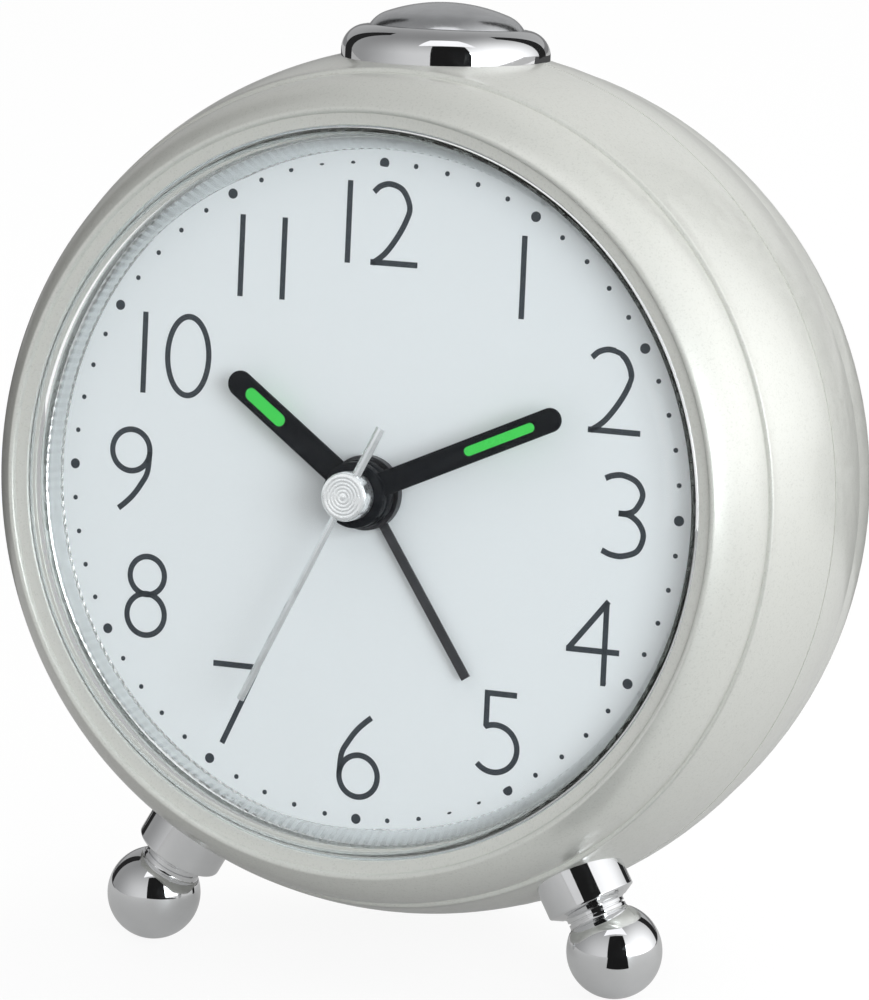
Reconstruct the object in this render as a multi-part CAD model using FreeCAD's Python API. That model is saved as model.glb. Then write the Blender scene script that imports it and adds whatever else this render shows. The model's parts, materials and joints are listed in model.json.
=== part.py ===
import FreeCAD, Part
import math
import os

V = FreeCAD.Vector
os.makedirs("parts", exist_ok=True)

# Quartz table alarm clock: a round drum case with a domed front ring, a leaning dial, two ball feet and a
# rubber rear foot, a dome button on top, and an alarm movement inside.
#
# Everything is drawn about the dial axis and then set down leaning: X to the right, Z up the dial, Y from
# the dial face (y = 0) to the back. Radii are measured from the dial axis. All lengths are in millimetres.

# ---------------------------------------------------------------- driving dimensions
lean = 6.35                 # how far the dial tips back, degrees

seam_r = 49.6               # case radius where the two shells meet
seam_y = 14.9
seam_gap = 0.1
rim_drop = 2.4              # the drum is this much smaller at its front rim
rim_y = 1.75
rim_round = 0.3
step_w = 0.55               # front-facing step between the domed ring and the drum
waist_drop = 1.1            # the drum is this much smaller at the waist
waist_len = 10.7            # seam to waist
rear_len = 9.1              # waist to the start of the back corner
rear_drop = 2.1
rear_slope = 23.7           # tangent of the rear shell where the back corner starts, degrees
back_round = 12.0
wall = 2.0

bezel_r = 40.95             # opening of the front ring
lip_back_y = -4.1
lip_front_y = -4.75
lip_w = 1.35
lip_rise = 0.25
crest_rise = 0.5
crest_w = 0.65
dome_bulge = 0.9

glass_gap = 0.2             # crystal to the front ring
glass_wall = 1.15
glass_flange = 0.75
glass_corner_drop = 4.05    # the rounded corner starts this far inside the opening
glass_corner_y = -7.8
glass_top_y = -9.3

dial_edge = 1.45            # dial hidden behind the front ring, all round
dial_t = 0.4
dial_gap = 0.2              # dial, ring and frame to the front shell
dial_hole_r = 3.6
reflector_foot_drop = 2.45
reflector_top_drop = 0.95

flange_y = 2.3              # inner frame that holds the movement against the dial
flange_t = 1.0
flange_w = 2.2

move_half = 28.0            # movement case, half of its side
move_corner = 5.0
move_plate_t = 1.5
move_back_y = 17.5
move_wall = 1.2
move_rim = 2.0
move_rim_t = 1.0

run = 0.05                  # running clearance of a shaft in its bore
fit = 0.1                   # clearance between pieces that slide or seat

post_drop = 6.6             # case screw posts, inside the seam
post_size = 4.0
boss_size = 3.4
post_y0 = 14.0
boss_y0 = 3.7
screw_r = 1.2
screw_head_r = 2.6
screw_head_t = 1.9
screw_seat_y = 26.0
screw_tip_y = 6.0
post_angles = (45, 135, 225, 315)

foot_y = 7.53               # front feet
foot_angle = 30.0
foot_collar_r = 5.1
foot_neck_r = 3.42
ball_r = 5.38
foot_collar_len = 2.83      # drum to the end of the foot's collar
ball_reach = 6.1            # end of the collar to the ball's centre
rear_foot_y = 37.2
rear_foot_r = 3.8
rear_foot_h = 17.0
rear_plug_r = 2.0

cap_r = 8.85                # dome of the top button
cap_bore_gap = 0.1
cap_rise = 2.25
cap_rim_h = 0.55
cap_round = 1.95             # width of the tighter curve round the dome's edge
skirt_drop = 0.2
catch_step = 0.4
catch_t = 0.9
button_collar_w = 3.0       # chrome collar round the button
collar_drop = 0.75          # top of its straight wall, below the case's largest radius
shoulder_h = 2.7
housing_drop = 12.0
housing_wall = 1.05
housing_w = 1.35
floor_t = 1.2
ledge_w = 1.1
ledge_drop = 7.0
button_travel = 1.2
post_gap = 0.05             # button post to the switch plunger when pressed home
spring_drop = 3.25
spring_wire = 0.25
spring_turns = 5

battery_len = 50.5
battery_r = 7.1
battery_z = -17.0
battery_nub = 1.6
bay_gap = 0.5
bay_wall = 1.2
contact_t = 0.4
contact_room = 1.4
door_margin = 1.0
door_t = 1.6
door_skirt = 3.0
door_corner = 4.0

back_y = seam_y + waist_len + rear_len + back_round * (1 - math.sin(math.radians(rear_slope)))
dial_r = bezel_r + dial_edge
post_r = seam_r - post_drop
collar_top = seam_r - collar_drop
shoulder_top = collar_top + shoulder_h
cap_rim = shoulder_top + cap_rim_h
cap_top = cap_rim + cap_rise
catch_top = seam_r - 2.8
skirt_r = cap_r - skirt_drop
catch_r = skirt_r + catch_step
housing_r = cap_r + housing_w
housing_floor = seam_r - housing_drop
ledge_z = seam_r - ledge_drop
button_r = cap_r + button_collar_w
spring_r = cap_r - spring_drop

arbor_r = 0.4
seconds_r = 0.7
tube_wall = 0.5
wheel_t = 0.8

# gear train: module and teeth
time_m = 0.35
cannon_teeth, minute_teeth = 12, 36
minute_leaves, hour_teeth = 10, 40
knob_teeth = 12
alarm_m = 0.45
alarm_teeth, alarm_leaves = 60, 12
seconds_m = 0.31
seconds_teeth, fifth_leaves = 50, 10
rotor_m = 0.30
fifth_teeth, rotor_leaves = 36, 6
centre_m = 0.25
centre_teeth, third_leaves = 64, 8
third_teeth, seconds_leaves = 60, 8

minute_line = 120.0         # direction of the minute wheel from the dial axis, degrees from +X towards +Z
knob_line = 150.0
alarm_line = 45.0
third_line = -50.0
fifth_line = 150.0
rotor_line = 215.0

alarm_y = 2.5
hour_y = 3.9
motion_y = 5.3
bridge_y = 7.0
bridge_t = 1.0
centre_y = 8.6
third_y = 10.2
seconds_y = 11.8
fifth_y = 13.1

alarm_hand_y = -1.35        # depth of each hand
hour_hand_y = -3.1
minute_hand_y = -4.2
second_hand_y = -7.0
hand_t = 0.35
alarm_at = 146.2            # where each hand points at rest, degrees clockwise from 12
hour_at = -54.0
minute_at = 66.0
second_at = 206.4
alarm_boss_r = 4.2
hour_boss_r = 3.85
minute_boss_r = 3.7
alarm_hand_len, alarm_hand_w = 23.6, 1.07
hour_hand_len, hour_hand_w = 20.3, 3.0
minute_hand_len, minute_hand_w = 26.4, 2.7
second_hand_len, second_tail, second_hand_w = 26.6, 8.8, 0.85
hour_slot = (11.9, 17.7, 1.45)
minute_slot = (14.2, 23.1, 1.05)
cap_face_y = -7.35
cap_back_y = -5.2
cap_size_r = 2.75

knob_r = 5.2
knob_h = 5.4
knob_sink = 3.4
knob_gap = 0.5
stem_r = 1.4
pivot_r = 0.9

buzzer_z = 24.0
buzzer_r = 8.0
slider_z = 3.4
slider_travel = 3.0
wire_r = 0.45


# ---------------------------------------------------------------- shapes about the dial axis
def outline(start, *steps):
    """Closed face from (radius, y) points; a step of two points is an arc through the first."""
    edges = []
    here = V(*start, 0)
    for step in steps + (start,):
        if isinstance(step[0], tuple):
            there = V(*step[1], 0)
            edges.append(Part.Arc(here, V(*step[0], 0), there).toShape())
        else:
            there = V(*step, 0)
            if here.distanceToPoint(there) < 1e-6:
                continue
            edges.append(Part.makeLine(here, there))
        here = there
    return Part.Face(Part.Wire(edges))


def turned(start, *steps):
    return outline(start, *steps).revolve(V(0, 0, 0), V(0, 1, 0), 360)


def bow(p, q, bulge):
    """Middle point of an arc from p to q that swells by bulge to the side of larger radius."""
    length = math.dist(p, q)
    side = 1 if q[1] > p[1] else -1
    return ((p[0] + q[0]) / 2 + side * bulge * (q[1] - p[1]) / length,
            (p[1] + q[1]) / 2 - side * bulge * (q[0] - p[0]) / length)


def rod(r, y0, y1, x=0, z=0):
    return Part.makeCylinder(r, y1 - y0, V(x, y0, z), V(0, 1, 0))


def tube(r, bore, y0, y1, x=0, z=0):
    return rod(r, y0, y1, x, z).cut(rod(bore, y0 - 1, y1 + 1, x, z))


def slab(x0, x1, y0, y1, z0, z1):
    return Part.makeBox(x1 - x0, y1 - y0, z1 - z0, V(x0, y0, z0))


def rounded_slab(half_x, half_z, corner, y0, y1, x=0, z=0):
    block = slab(x - half_x, x + half_x, y0, y1, z - half_z, z + half_z)
    upright = [e for e in block.Edges if abs(e.tangentAt(e.FirstParameter).y) > 0.99]
    return block.makeFillet(corner, upright)


def aimed(shape, direction, base, drawn=V(0, 1, 0)):
    """Turns a shape that was drawn about one axis to another axis through base."""
    shape = shape.copy()
    shape.Placement = FreeCAD.Placement(base, FreeCAD.Rotation(drawn, direction)).multiply(shape.Placement)
    return shape


def crown(r, top, edge):
    """Middle point of an arc that crosses the axis square at depth top and has radius r at depth edge."""
    rise = edge - top
    arc_r = (r ** 2 + rise ** 2) / (2 * abs(rise))
    half = math.asin(r / arc_r) / 2
    return (arc_r * math.sin(half), top + math.copysign(arc_r * (1 - math.cos(half)), rise))


def polar(r, angle):
    """x and z of a point at radius r, angle from +X towards +Z."""
    return r * math.cos(math.radians(angle)), r * math.sin(math.radians(angle))


def spun(shape, clockwise):
    """Turns a shape clockwise about the dial axis, as seen from the front."""
    shape = shape.copy()
    shape.rotate(V(0, 0, 0), V(0, 1, 0), clockwise)
    return shape


# ---------------------------------------------------------------- gears
def gear(teeth, module, y0, y1, aim, x=0, z=0):
    """Spur gear with involute flanks drawn in three flats and wide backlash; one tooth points along aim."""
    pitch = teeth * module / 2
    base = pitch * math.cos(math.radians(20))
    tip = pitch + 0.8 * module
    root = pitch - 1.15 * module
    at_pitch = 0.41 * math.pi / teeth

    def involute(r):
        roll = math.acos(min(1, base / r))
        return math.tan(roll) - roll

    flank = [root, max(base, root + 0.2 * module), pitch, tip]
    half = [at_pitch + involute(pitch) - involute(max(r, base)) for r in flank]
    half[0] = half[1] * 1.12
    points = []
    for tooth in range(teeth):
        middle = math.radians(aim) + 2 * math.pi * tooth / teeth
        corners = [(r, middle - h) for r, h in zip(flank, half)]
        corners += [(r, middle + h) for r, h in zip(flank[::-1], half[::-1])]
        points += [V(x + r * math.cos(a), y0, z + r * math.sin(a)) for r, a in corners]
    face = Part.Face(Part.makePolygon(points + points[:1]))
    return face.extrude(V(0, y1 - y0, 0))


def mate(aim, teeth, other_teeth, line):
    """Aim of a gear that meshes with one aimed at aim, across the line of centres from the first to it."""
    lead_in = ((line - aim) / (360 / teeth)) % 1
    return line + 180 + (0.5 + lead_in) * 360 / other_teeth


def centres(module, a, b):
    return module * (a + b) / 2


hour_m = time_m * (cannon_teeth + minute_teeth) / (minute_leaves + hour_teeth)
minute_x, minute_z = polar(centres(time_m, cannon_teeth, minute_teeth), minute_line)
knob_dx, knob_dz = polar(centres(time_m, minute_teeth, knob_teeth), knob_line)
time_x, time_z = minute_x + knob_dx, minute_z + knob_dz
alarm_x, alarm_z = polar(centres(alarm_m, alarm_teeth, alarm_leaves), alarm_line)
third_x, third_z = polar(centres(centre_m, centre_teeth, third_leaves), third_line)
third_m = 2 * centres(centre_m, centre_teeth, third_leaves) / (third_teeth + seconds_leaves)
fifth_x, fifth_z = polar(centres(seconds_m, seconds_teeth, fifth_leaves), fifth_line)
rotor_dx, rotor_dz = polar(centres(rotor_m, fifth_teeth, rotor_leaves), rotor_line)
rotor_x, rotor_z = fifth_x + rotor_dx, fifth_z + rotor_dz

minute_aim = mate(0, cannon_teeth, minute_teeth, minute_line)
time_aim = mate(minute_aim, minute_teeth, knob_teeth, knob_line)
hour_aim = mate(0, minute_leaves, hour_teeth, minute_line + 180)
alarm_knob_aim = mate(0, alarm_teeth, alarm_leaves, alarm_line)
fifth_aim = mate(0, seconds_teeth, fifth_leaves, fifth_line)
rotor_aim = mate(0, fifth_teeth, rotor_leaves, rotor_line)
third_aim = mate(0, seconds_leaves, third_teeth, third_line)
centre_aim = mate(0, third_leaves, centre_teeth, third_line + 180)

# ---------------------------------------------------------------- case outline
rim_r = seam_r - rim_drop
waist_r, waist_y = seam_r - waist_drop, seam_y + waist_len
shoulder_r, shoulder_y = waist_r - rear_drop, waist_y + rear_len
slope = math.radians(rear_slope)
corner_r = shoulder_r - back_round * math.cos(slope)
corner_y = shoulder_y - back_round * math.sin(slope)
drum_start = (rim_r, rim_y + rim_round)
seam = (seam_r, seam_y)
waist = (waist_r, waist_y)
shoulder = (shoulder_r, shoulder_y)
drum_bulge, rear_bulge, tail_bulge = 0.45, 0.35, 0.38


def corner(r, angle):
    return (corner_r + r * math.cos(angle), corner_y + r * math.sin(angle))


groove_r = bezel_r + lip_w
crest_r = groove_r + crest_w
lip_crest_y = lip_front_y - lip_rise
crest_y = lip_crest_y - crest_rise
valley_r = rim_r - step_w
dome_start = (crest_r, crest_y + 0.02)
valley = (valley_r, rim_y)
rim_ease = rim_round * (1 - math.cos(math.radians(45)))
rim_mid = (rim_r - rim_ease, rim_y + rim_ease)
front_skin = [
    (bezel_r, lip_front_y),
    (groove_r, lip_crest_y),
    (groove_r + 0.12, lip_crest_y - 0.2),
    ((groove_r + 0.26, crest_y + 0.1), dome_start),
    (bow(dome_start, valley, dome_bulge), valley),
    (rim_r - rim_round, rim_y),
    (rim_mid, drum_start),
]
rear_skin = [
    (bow(seam, waist, rear_bulge), waist),
    (bow(waist, shoulder, tail_bulge), shoulder),
    (corner(back_round, (slope + math.pi / 2) / 2), (corner_r, back_y)),
    (0, back_y),
]
envelope = turned((0, lip_front_y), *front_skin, (bow(drum_start, seam, drum_bulge), seam), *rear_skin)


def case_radius(y):
    """Radius of the case's outer surface at depth y, read off the envelope."""
    probe = Part.makeLine(V(0, y, 0), V(2 * seam_r, y, 0))
    return envelope.common(probe).BoundBox.XMax


bore_r = dial_r + dial_gap
tongue_r = seam_r - wall - 0.45
tongue_in = tongue_r - 1.15
inner_front = (max(rim_r - wall, bore_r + flange_w), flange_y)
inner_seam = (seam_r - wall, seam_y - seam_gap / 2)
button_axis = V(0, seam_y, 0)
up = V(0, 0, 1)
button_hole = Part.makeCylinder(housing_r + fit, 2 * wall + 8, V(0, seam_y, seam_r - 2 * wall - 4), up)


def posts(r, y0, y1):
    return [rod(r, y0, y1, *polar(post_r, a)) for a in post_angles]


# ---------------------------------------------------------------- case shells
def front_case():
    shell = turned(
        (bezel_r, lip_back_y), *front_skin,
        (bow(drum_start, seam, drum_bulge), seam), inner_seam,
        (bow(inner_seam, inner_front, drum_bulge), inner_front),
        (bore_r, flange_y), (bore_r, lip_back_y))
    seam_cut = rod(2 * seam_r, seam_y - seam_gap / 2, seam_y + 5)
    shell = shell.fuse([p.common(envelope) for p in posts(boss_size, boss_y0, post_y0 - fit)])
    shell = shell.cut([seam_cut, button_hole] + posts(screw_r + 0.05, screw_tip_y - 1, post_y0 + 1))
    shell = shell.cut(foot_holes())
    shell = shell.cut([rod(frame_screw_r, flange_y - 4.5, flange_y + 1, *at) for at in frame_screw_places])
    return shell.removeSplitter()


def rear_case():
    inner_waist = (waist_r - wall, waist_y)
    inner_shoulder = (shoulder_r - wall, shoulder_y)
    inner_back_y = back_y - wall
    shell = turned(
        (seam_r, seam_y), *rear_skin, (0, inner_back_y), (corner_r, inner_back_y),
        (corner(back_round - wall, (slope + math.pi / 2) / 2), corner(back_round - wall, slope)),
        inner_shoulder, (bow(inner_shoulder, inner_waist, tail_bulge), inner_waist),
        (tongue_in, seam_y + 4.5), (tongue_in, seam_y - 2.4), (tongue_r, seam_y - 2.4), (tongue_r, seam_y))
    seam_cut = tube(2 * seam_r, tongue_r, seam_y - 5, seam_y + seam_gap / 2)
    bay_z0 = battery_z - battery_r - bay_gap - bay_wall
    bay_z1 = battery_z + battery_r + bay_gap + bay_wall
    bay = slab(-bay_half, bay_half, bay_y - bay_wall, inner_back_y + 0.5, bay_z0, bay_z1)
    cups = [rod(knob_r + knob_gap + wall, inner_back_y - knob_sink + 0.4, inner_back_y + 0.5, x, z)
            for x, z in knob_places]
    ring = tube(buzzer_r + 1.3, buzzer_r + fit, inner_back_y - 2.2, inner_back_y + 0.5, 0, buzzer_z)
    shell = shell.fuse([p.common(envelope) for p in posts(post_size, post_y0, back_y)] + [bay, ring] + cups)
    inside = slab(-bay_half + bay_wall, bay_half - bay_wall, bay_y, back_y + 1,
                  bay_z0 + bay_wall, bay_z1 - bay_wall)
    ledge = rounded_slab(door_half_x + fit, door_half_z + fit, door_corner,
                         back_y - door_t - fit, back_y + 1, 0, battery_z)
    cuts = [seam_cut, button_hole, inside, ledge, finger_scoop()]
    cuts += [rod(wire_r + 0.2, bay_y - 2 * bay_wall, bay_y + 1, x, battery_z) for x in (-lead_x, lead_x)]
    cuts += posts(boss_size + 0.3, seam_y - 4, post_y0)
    cuts += [rod(knob_r + knob_gap, back_y - knob_sink, back_y + 1, x, z) for x, z in knob_places]
    cuts += [rod(stem_r + 0.2, inner_back_y - 6, back_y + 1, x, z) for x, z in knob_places]
    cuts += posts(screw_r + 0.15, post_y0 - 3, back_y) + posts(screw_head_r + 0.3, screw_seat_y, back_y + 1)
    cuts += sound_holes() + [slider_slot(), rear_foot_hole()]
    shell = shell.cut(cuts)
    return shell.removeSplitter()


def sound_holes():
    holes = [rod(0.8, back_y - 2 * wall, back_y + 1, 0, buzzer_z)]
    for count, ring_r in ((6, 2.6), (12, 5.2)):
        for k in range(count):
            dx, dz = polar(ring_r, 360 * k / count)
            holes.append(rod(0.8, back_y - 2 * wall, back_y + 1, dx, buzzer_z + dz))
    return holes


# ---------------------------------------------------------------- front glazing and dial
def crystal():
    """Domed clear crystal with a rounded corner, a short side wall and a flange behind the lip."""
    r = bezel_r - glass_gap
    flange_y1 = lip_back_y + glass_flange
    side = (r, lip_back_y - 0.3)
    corner_out = (r + glass_gap - glass_corner_drop, glass_corner_y)
    side_in = (r - glass_wall, lip_back_y - 0.3)
    corner_in = (corner_out[0] - 0.35, glass_corner_y + glass_wall)
    top_in = glass_top_y + glass_wall
    return turned(
        (0, glass_top_y), (crown(corner_out[0], glass_top_y, glass_corner_y), corner_out),
        (bow(side, corner_out, 0.95), side), (r, lip_back_y), (dial_r, lip_back_y), (dial_r, flange_y1),
        (r - glass_wall, flange_y1), side_in, (bow(corner_in, side_in, 0.6), corner_in),
        (crown(corner_in[0], top_in, corner_in[1]), (0, top_in)))


def reflector_ring():
    """Clear cone between the crystal's flange and the dial."""
    foot_r, top_y = bezel_r - reflector_foot_drop, lip_back_y + glass_flange
    return turned((foot_r, 0), (foot_r, -0.6), (bezel_r - reflector_top_drop, top_y), (dial_r - fit, top_y),
                  (dial_r - fit, 0))


def dial_plate():
    return tube(dial_r, dial_hole_r, 0, dial_t)


# ---------------------------------------------------------------- inner frame
frame_back = flange_y + flange_t
frame_screw_r = 0.8
frame_screw_at = bore_r + 0.45 * flange_w
frame_screw_places = [polar(frame_screw_at, a) for a in (15, 165, 195, 345)]


def inner_frame():
    """Ring with a square window that presses the dial forwards and clamps the movement by its rim."""
    outer = bore_r + flange_w - fit
    ring = rod(dial_r, dial_t, flange_y).fuse(rod(outer, flange_y, frame_back))
    window = rounded_slab(move_half + 0.3, move_half + 0.3, move_corner, 0, frame_back + 1)
    rim = move_half + move_rim + 0.2
    pocket = rounded_slab(rim, rim, move_corner, 0, dial_t + move_rim_t)
    cuts = [window, pocket]
    cuts += [rod(frame_screw_r + fit, 0, frame_back + 1, x, z) for x, z in frame_screw_places]
    return ring.cut(cuts).removeSplitter()


def frame_screws():
    screws = []
    for x, z in frame_screw_places:
        head = rod(1.2, frame_back, frame_back + 1.0, x, z)
        shank = rod(frame_screw_r - run, flange_y - 4, frame_back, x, z)
        slot = slab(x - 1.3, x + 1.3, frame_back + 0.6, frame_back + 1.1, z - 0.15, z + 0.15)
        screws.append(head.fuse(shank).cut(slot).removeSplitter())
    return Part.makeCompound(screws)


def cross_recess(x, z, y, size):
    """Cross recess for a screwdriver, open at depth y."""
    arm = size * 0.22
    return [slab(x - size, x + size, y - 0.9, y + 0.1, z - arm, z + arm),
            slab(x - arm, x + arm, y - 0.9, y + 0.1, z - size, z + size)]


def case_screws():
    screws = []
    top = screw_seat_y + screw_head_t
    for angle in post_angles:
        x, z = polar(post_r, angle)
        shank = rod(screw_r, screw_tip_y, screw_seat_y, x, z)
        screw = rod(screw_head_r, screw_seat_y, top, x, z).fuse(shank)
        screws.append(screw.cut(cross_recess(x, z, top, 1.5)).removeSplitter())
    return Part.makeCompound(screws)


# ---------------------------------------------------------------- feet
def foot_direction(side):
    return V(side * math.sin(math.radians(foot_angle)), 0, -math.cos(math.radians(foot_angle)))


drum_at_foot = case_radius(foot_y)
collar_end = drum_at_foot + foot_collar_len
ball_at = collar_end + ball_reach


def foot(side):
    """Turned foot: a collar that seats on the drum, a grooved neck and a ball."""
    start = drum_at_foot - 2
    neck_y = collar_end + 0.95
    groove_r = foot_neck_r - 0.22
    ball_start = ball_at - math.sqrt(ball_r ** 2 - foot_neck_r ** 2)
    body = turned(
        (0, start), (foot_collar_r, start), (foot_collar_r, collar_end - 0.15),
        ((foot_collar_r - 0.07, collar_end + 0.05), (foot_collar_r - 0.25, collar_end + 0.16)),
        (foot_neck_r + 0.43, collar_end + 0.72),
        ((foot_neck_r + 0.12, collar_end + 0.82), (foot_neck_r, neck_y)),
        (foot_neck_r, neck_y + 0.33), (groove_r, neck_y + 0.39), (groove_r, neck_y + 0.51),
        (foot_neck_r, neck_y + 0.57), (foot_neck_r, ball_start),
        ((ball_r, ball_at), (0, ball_at + ball_r)))
    body = aimed(body, foot_direction(side), V(0, foot_y, 0)).cut(envelope)
    return body.cut(foot_bore(side, screw_r + 0.05, start - 1, start + 7)).removeSplitter()


def foot_bore(side, r, start, end):
    return aimed(rod(r, start, end), foot_direction(side), V(0, foot_y, 0))


def foot_holes():
    return [foot_bore(side, screw_r + 0.15, drum_at_foot - 12, drum_at_foot + 3) for side in (-1, 1)]


def foot_screws():
    screws = []
    seat = drum_at_foot - wall - 0.9
    for side in (-1, 1):
        screw = rod(screw_head_r, seat - screw_head_t, seat).fuse(rod(screw_r, seat, seat + 6.8))
        screw = screw.cut(cross_recess(0, 0, seat - screw_head_t + 0.8, 1.5))
        screws.append(aimed(screw, foot_direction(side), V(0, foot_y, 0)).removeSplitter())
    return Part.makeCompound(screws)


lean_rad = math.radians(lean)


def height(y, z):
    """Height above the dial centre once the clock leans back."""
    return z * math.cos(lean_rad) - y * math.sin(lean_rad)


floor_z = height(foot_y, -ball_at * math.cos(math.radians(foot_angle))) - ball_r


def rear_foot_hole():
    r = case_radius(rear_foot_y)
    return Part.makeCylinder(rear_plug_r, wall + 8, V(0, rear_foot_y, -r - 3), up)


def rear_foot():
    """Rubber bumper pushed into a hole in the rear shell, its sole cut level with the table."""
    r = case_radius(rear_foot_y)
    pad = Part.makeCone(rear_foot_r - 0.8, rear_foot_r, rear_foot_h, V(0, rear_foot_y, -r - 10), up)
    pad = pad.cut(envelope)
    plug = Part.makeCylinder(rear_plug_r - run, wall + 6.5, V(0, rear_foot_y, -r - 0.5), up)
    barb = Part.makeCone(rear_plug_r + 0.5, rear_plug_r - 0.6, 1.6, V(0, rear_foot_y, -r + wall + 5.9), up)
    table = slab(-seam_r, seam_r, -2 * seam_r, 2 * seam_r, floor_z - seam_r, floor_z)
    table.rotate(V(0, 0, 0), V(1, 0, 0), lean)
    return pad.fuse([plug, barb]).cut(table).removeSplitter()


# ---------------------------------------------------------------- top button
post_pin_r = 1.5
switch_floor = housing_floor + floor_t
switch_h = 3.4
plunger_h = 0.9
plunger_top = switch_floor + switch_h + plunger_h
switch_lead_x = (-1.6, 1.6)
switch_lead_z = 2.2


def top(shape):
    return aimed(shape, up, button_axis)


def button_collar():
    bore = cap_r + cap_bore_gap
    flange = turned(
        (bore, catch_top + 0.1), (button_r, catch_top - 4), (button_r, collar_top),
        ((button_r - 0.75, collar_top + 1.75), (bore + 0.2, shoulder_top)),
        (bore + 0.1, shoulder_top - 0.05), (bore, shoulder_top - 0.25))
    spigot = tube(housing_r, bore, catch_top + 0.1, collar_top)
    return top(flange).cut(envelope).fuse(top(spigot)).removeSplitter()


def button_housing():
    """Cup below the collar that guides the button and carries its spring and switch."""
    inner = housing_r - housing_wall
    cup = rod(housing_r, housing_floor, catch_top + 0.05).cut(rod(inner, switch_floor, catch_top + 2))
    holes = [top(rod(wire_r + fit, housing_floor - 1, switch_floor + 1, x, -switch_lead_z))
             for x in switch_lead_x]
    ledge = top(tube(housing_r + ledge_w, inner, ledge_z, seam_r))
    ledge = ledge.common(rod(tongue_in - 1.0, 0, 2 * seam_y))
    return top(cup).fuse(ledge).cut(holes).removeSplitter()


def button_cap():
    """Dome with a rim that slides in the collar, a skirt with a catch below, and a post to the switch."""
    round_r, round_z = cap_r - cap_round, cap_rim + cap_round / 2
    skirt_in = skirt_r - 1.2
    ceiling = (skirt_in, cap_rim - 1.9)
    body = turned(
        (0, cap_top), (crown(round_r, cap_top, round_z), (round_r, round_z)),
        ((cap_r - 0.425 * cap_round, round_z - 0.34 * cap_round), (cap_r, shoulder_top - 0.15)),
        (cap_r, shoulder_top - 1.2),
        (skirt_r, shoulder_top - 1.4), (skirt_r, catch_top), (catch_r, catch_top),
        (catch_r, catch_top - catch_t), (skirt_in, catch_top - catch_t), ceiling,
        (crown(skirt_in, cap_rim - 0.4, ceiling[1]), (0, cap_rim - 0.4)))
    return top(body.fuse(rod(post_pin_r, plunger_top + button_travel + post_gap, cap_rim)).removeSplitter())


def snooze_switch():
    body = slab(-3.0, 3.0, switch_floor, switch_floor + switch_h, -3.0, 3.0)
    plunger = rod(1.7, switch_floor + switch_h, plunger_top)
    return top(body.fuse(plunger).removeSplitter())


def coil(r, wire, y0, y1, turns):
    """Open helical spring about Y, standing on y0 and reaching y1."""
    pitch = (y1 - y0 - 2 * wire) / turns
    path = Part.makeHelix(pitch, pitch * turns, r)
    section = Part.Wire(Part.makeCircle(wire, V(r, 0, 0), V(0, 1, 0)))
    spring = Part.Wire(path.Edges).makePipeShell([section], True, True)
    return aimed(spring, V(0, 1, 0), V(0, y0 + wire, 0), drawn=up)


def button_spring():
    return top(coil(spring_r, spring_wire, switch_floor + 0.02, cap_rim - 1.45, spring_turns))


# ---------------------------------------------------------------- battery bay
bay_y = back_y - door_t - 2 * bay_gap - 2 * battery_r
bay_half = battery_len / 2 + contact_room + bay_wall
battery_y = bay_y + bay_gap + battery_r
lead_x = bay_half - bay_wall - contact_t
door_half_x = bay_half - bay_wall + door_margin
door_half_z = battery_r + bay_gap + door_margin


def lengthwise(shape, x=0, y=0, z=0):
    """Lays a shape that was drawn about Y along X."""
    return aimed(shape, V(1, 0, 0), V(x, y, z))


def battery():
    can = turned((0, -battery_len / 2 + 0.3), (battery_r - 2.2, -battery_len / 2 + 0.3),
                 (battery_r - 2.0, -battery_len / 2), (battery_r - 0.5, -battery_len / 2),
                 (battery_r, -battery_len / 2 + 0.5),
                 (battery_r, battery_len / 2 - battery_nub - 0.6),
                 (battery_r - 0.6, battery_len / 2 - battery_nub),
                 (2.7, battery_len / 2 - battery_nub), (2.5, battery_len / 2), (0, battery_len / 2))
    return lengthwise(can, 0, battery_y, battery_z)


contact_seat = 0.02


def contact_plate(x0, x1):
    """Sheet contact with a narrow tab that reaches to the bay's floor for its wire."""
    plate = slab(x0, x1, battery_y - 5, battery_y + 4, battery_z - 4.5, battery_z + 4.5)
    tab = slab(x0, x1, battery_y - battery_r, battery_y - 5, battery_z - 1.2, battery_z + 1.2)
    return plate.fuse(tab)


def battery_contact_plus():
    x = bay_half - bay_wall - contact_seat
    plate = contact_plate(x - contact_t, x)
    dimple = aimed(Part.makeCone(1.6, 0.9, contact_room - contact_t - 0.1), V(-1, 0, 0),
                   V(x - contact_t, battery_y, battery_z), drawn=up)
    return plate.fuse(dimple).removeSplitter()


def battery_spring_minus():
    x = -bay_half + bay_wall + contact_seat
    plate = contact_plate(x, x + contact_t)
    path = Part.makeHelix(0.42, 2.1 * 0.42, 3.4, 6)
    section = Part.Wire(Part.makeCircle(0.2, V(3.4, 0, 0), V(0, 1, 0)))
    wound = Part.Wire(path.Edges).makePipeShell([section], True, True)
    wound = aimed(wound, V(1, 0, 0), V(x + contact_t, battery_y, battery_z), drawn=up)
    return plate.fuse(wound).removeSplitter()


def finger_scoop():
    """Hollow for a fingertip, half in the case and half in the lower edge of the battery door."""
    return Part.makeSphere(5.5, V(0, back_y + 4.2, battery_z - door_half_z - 0.5))


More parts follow.
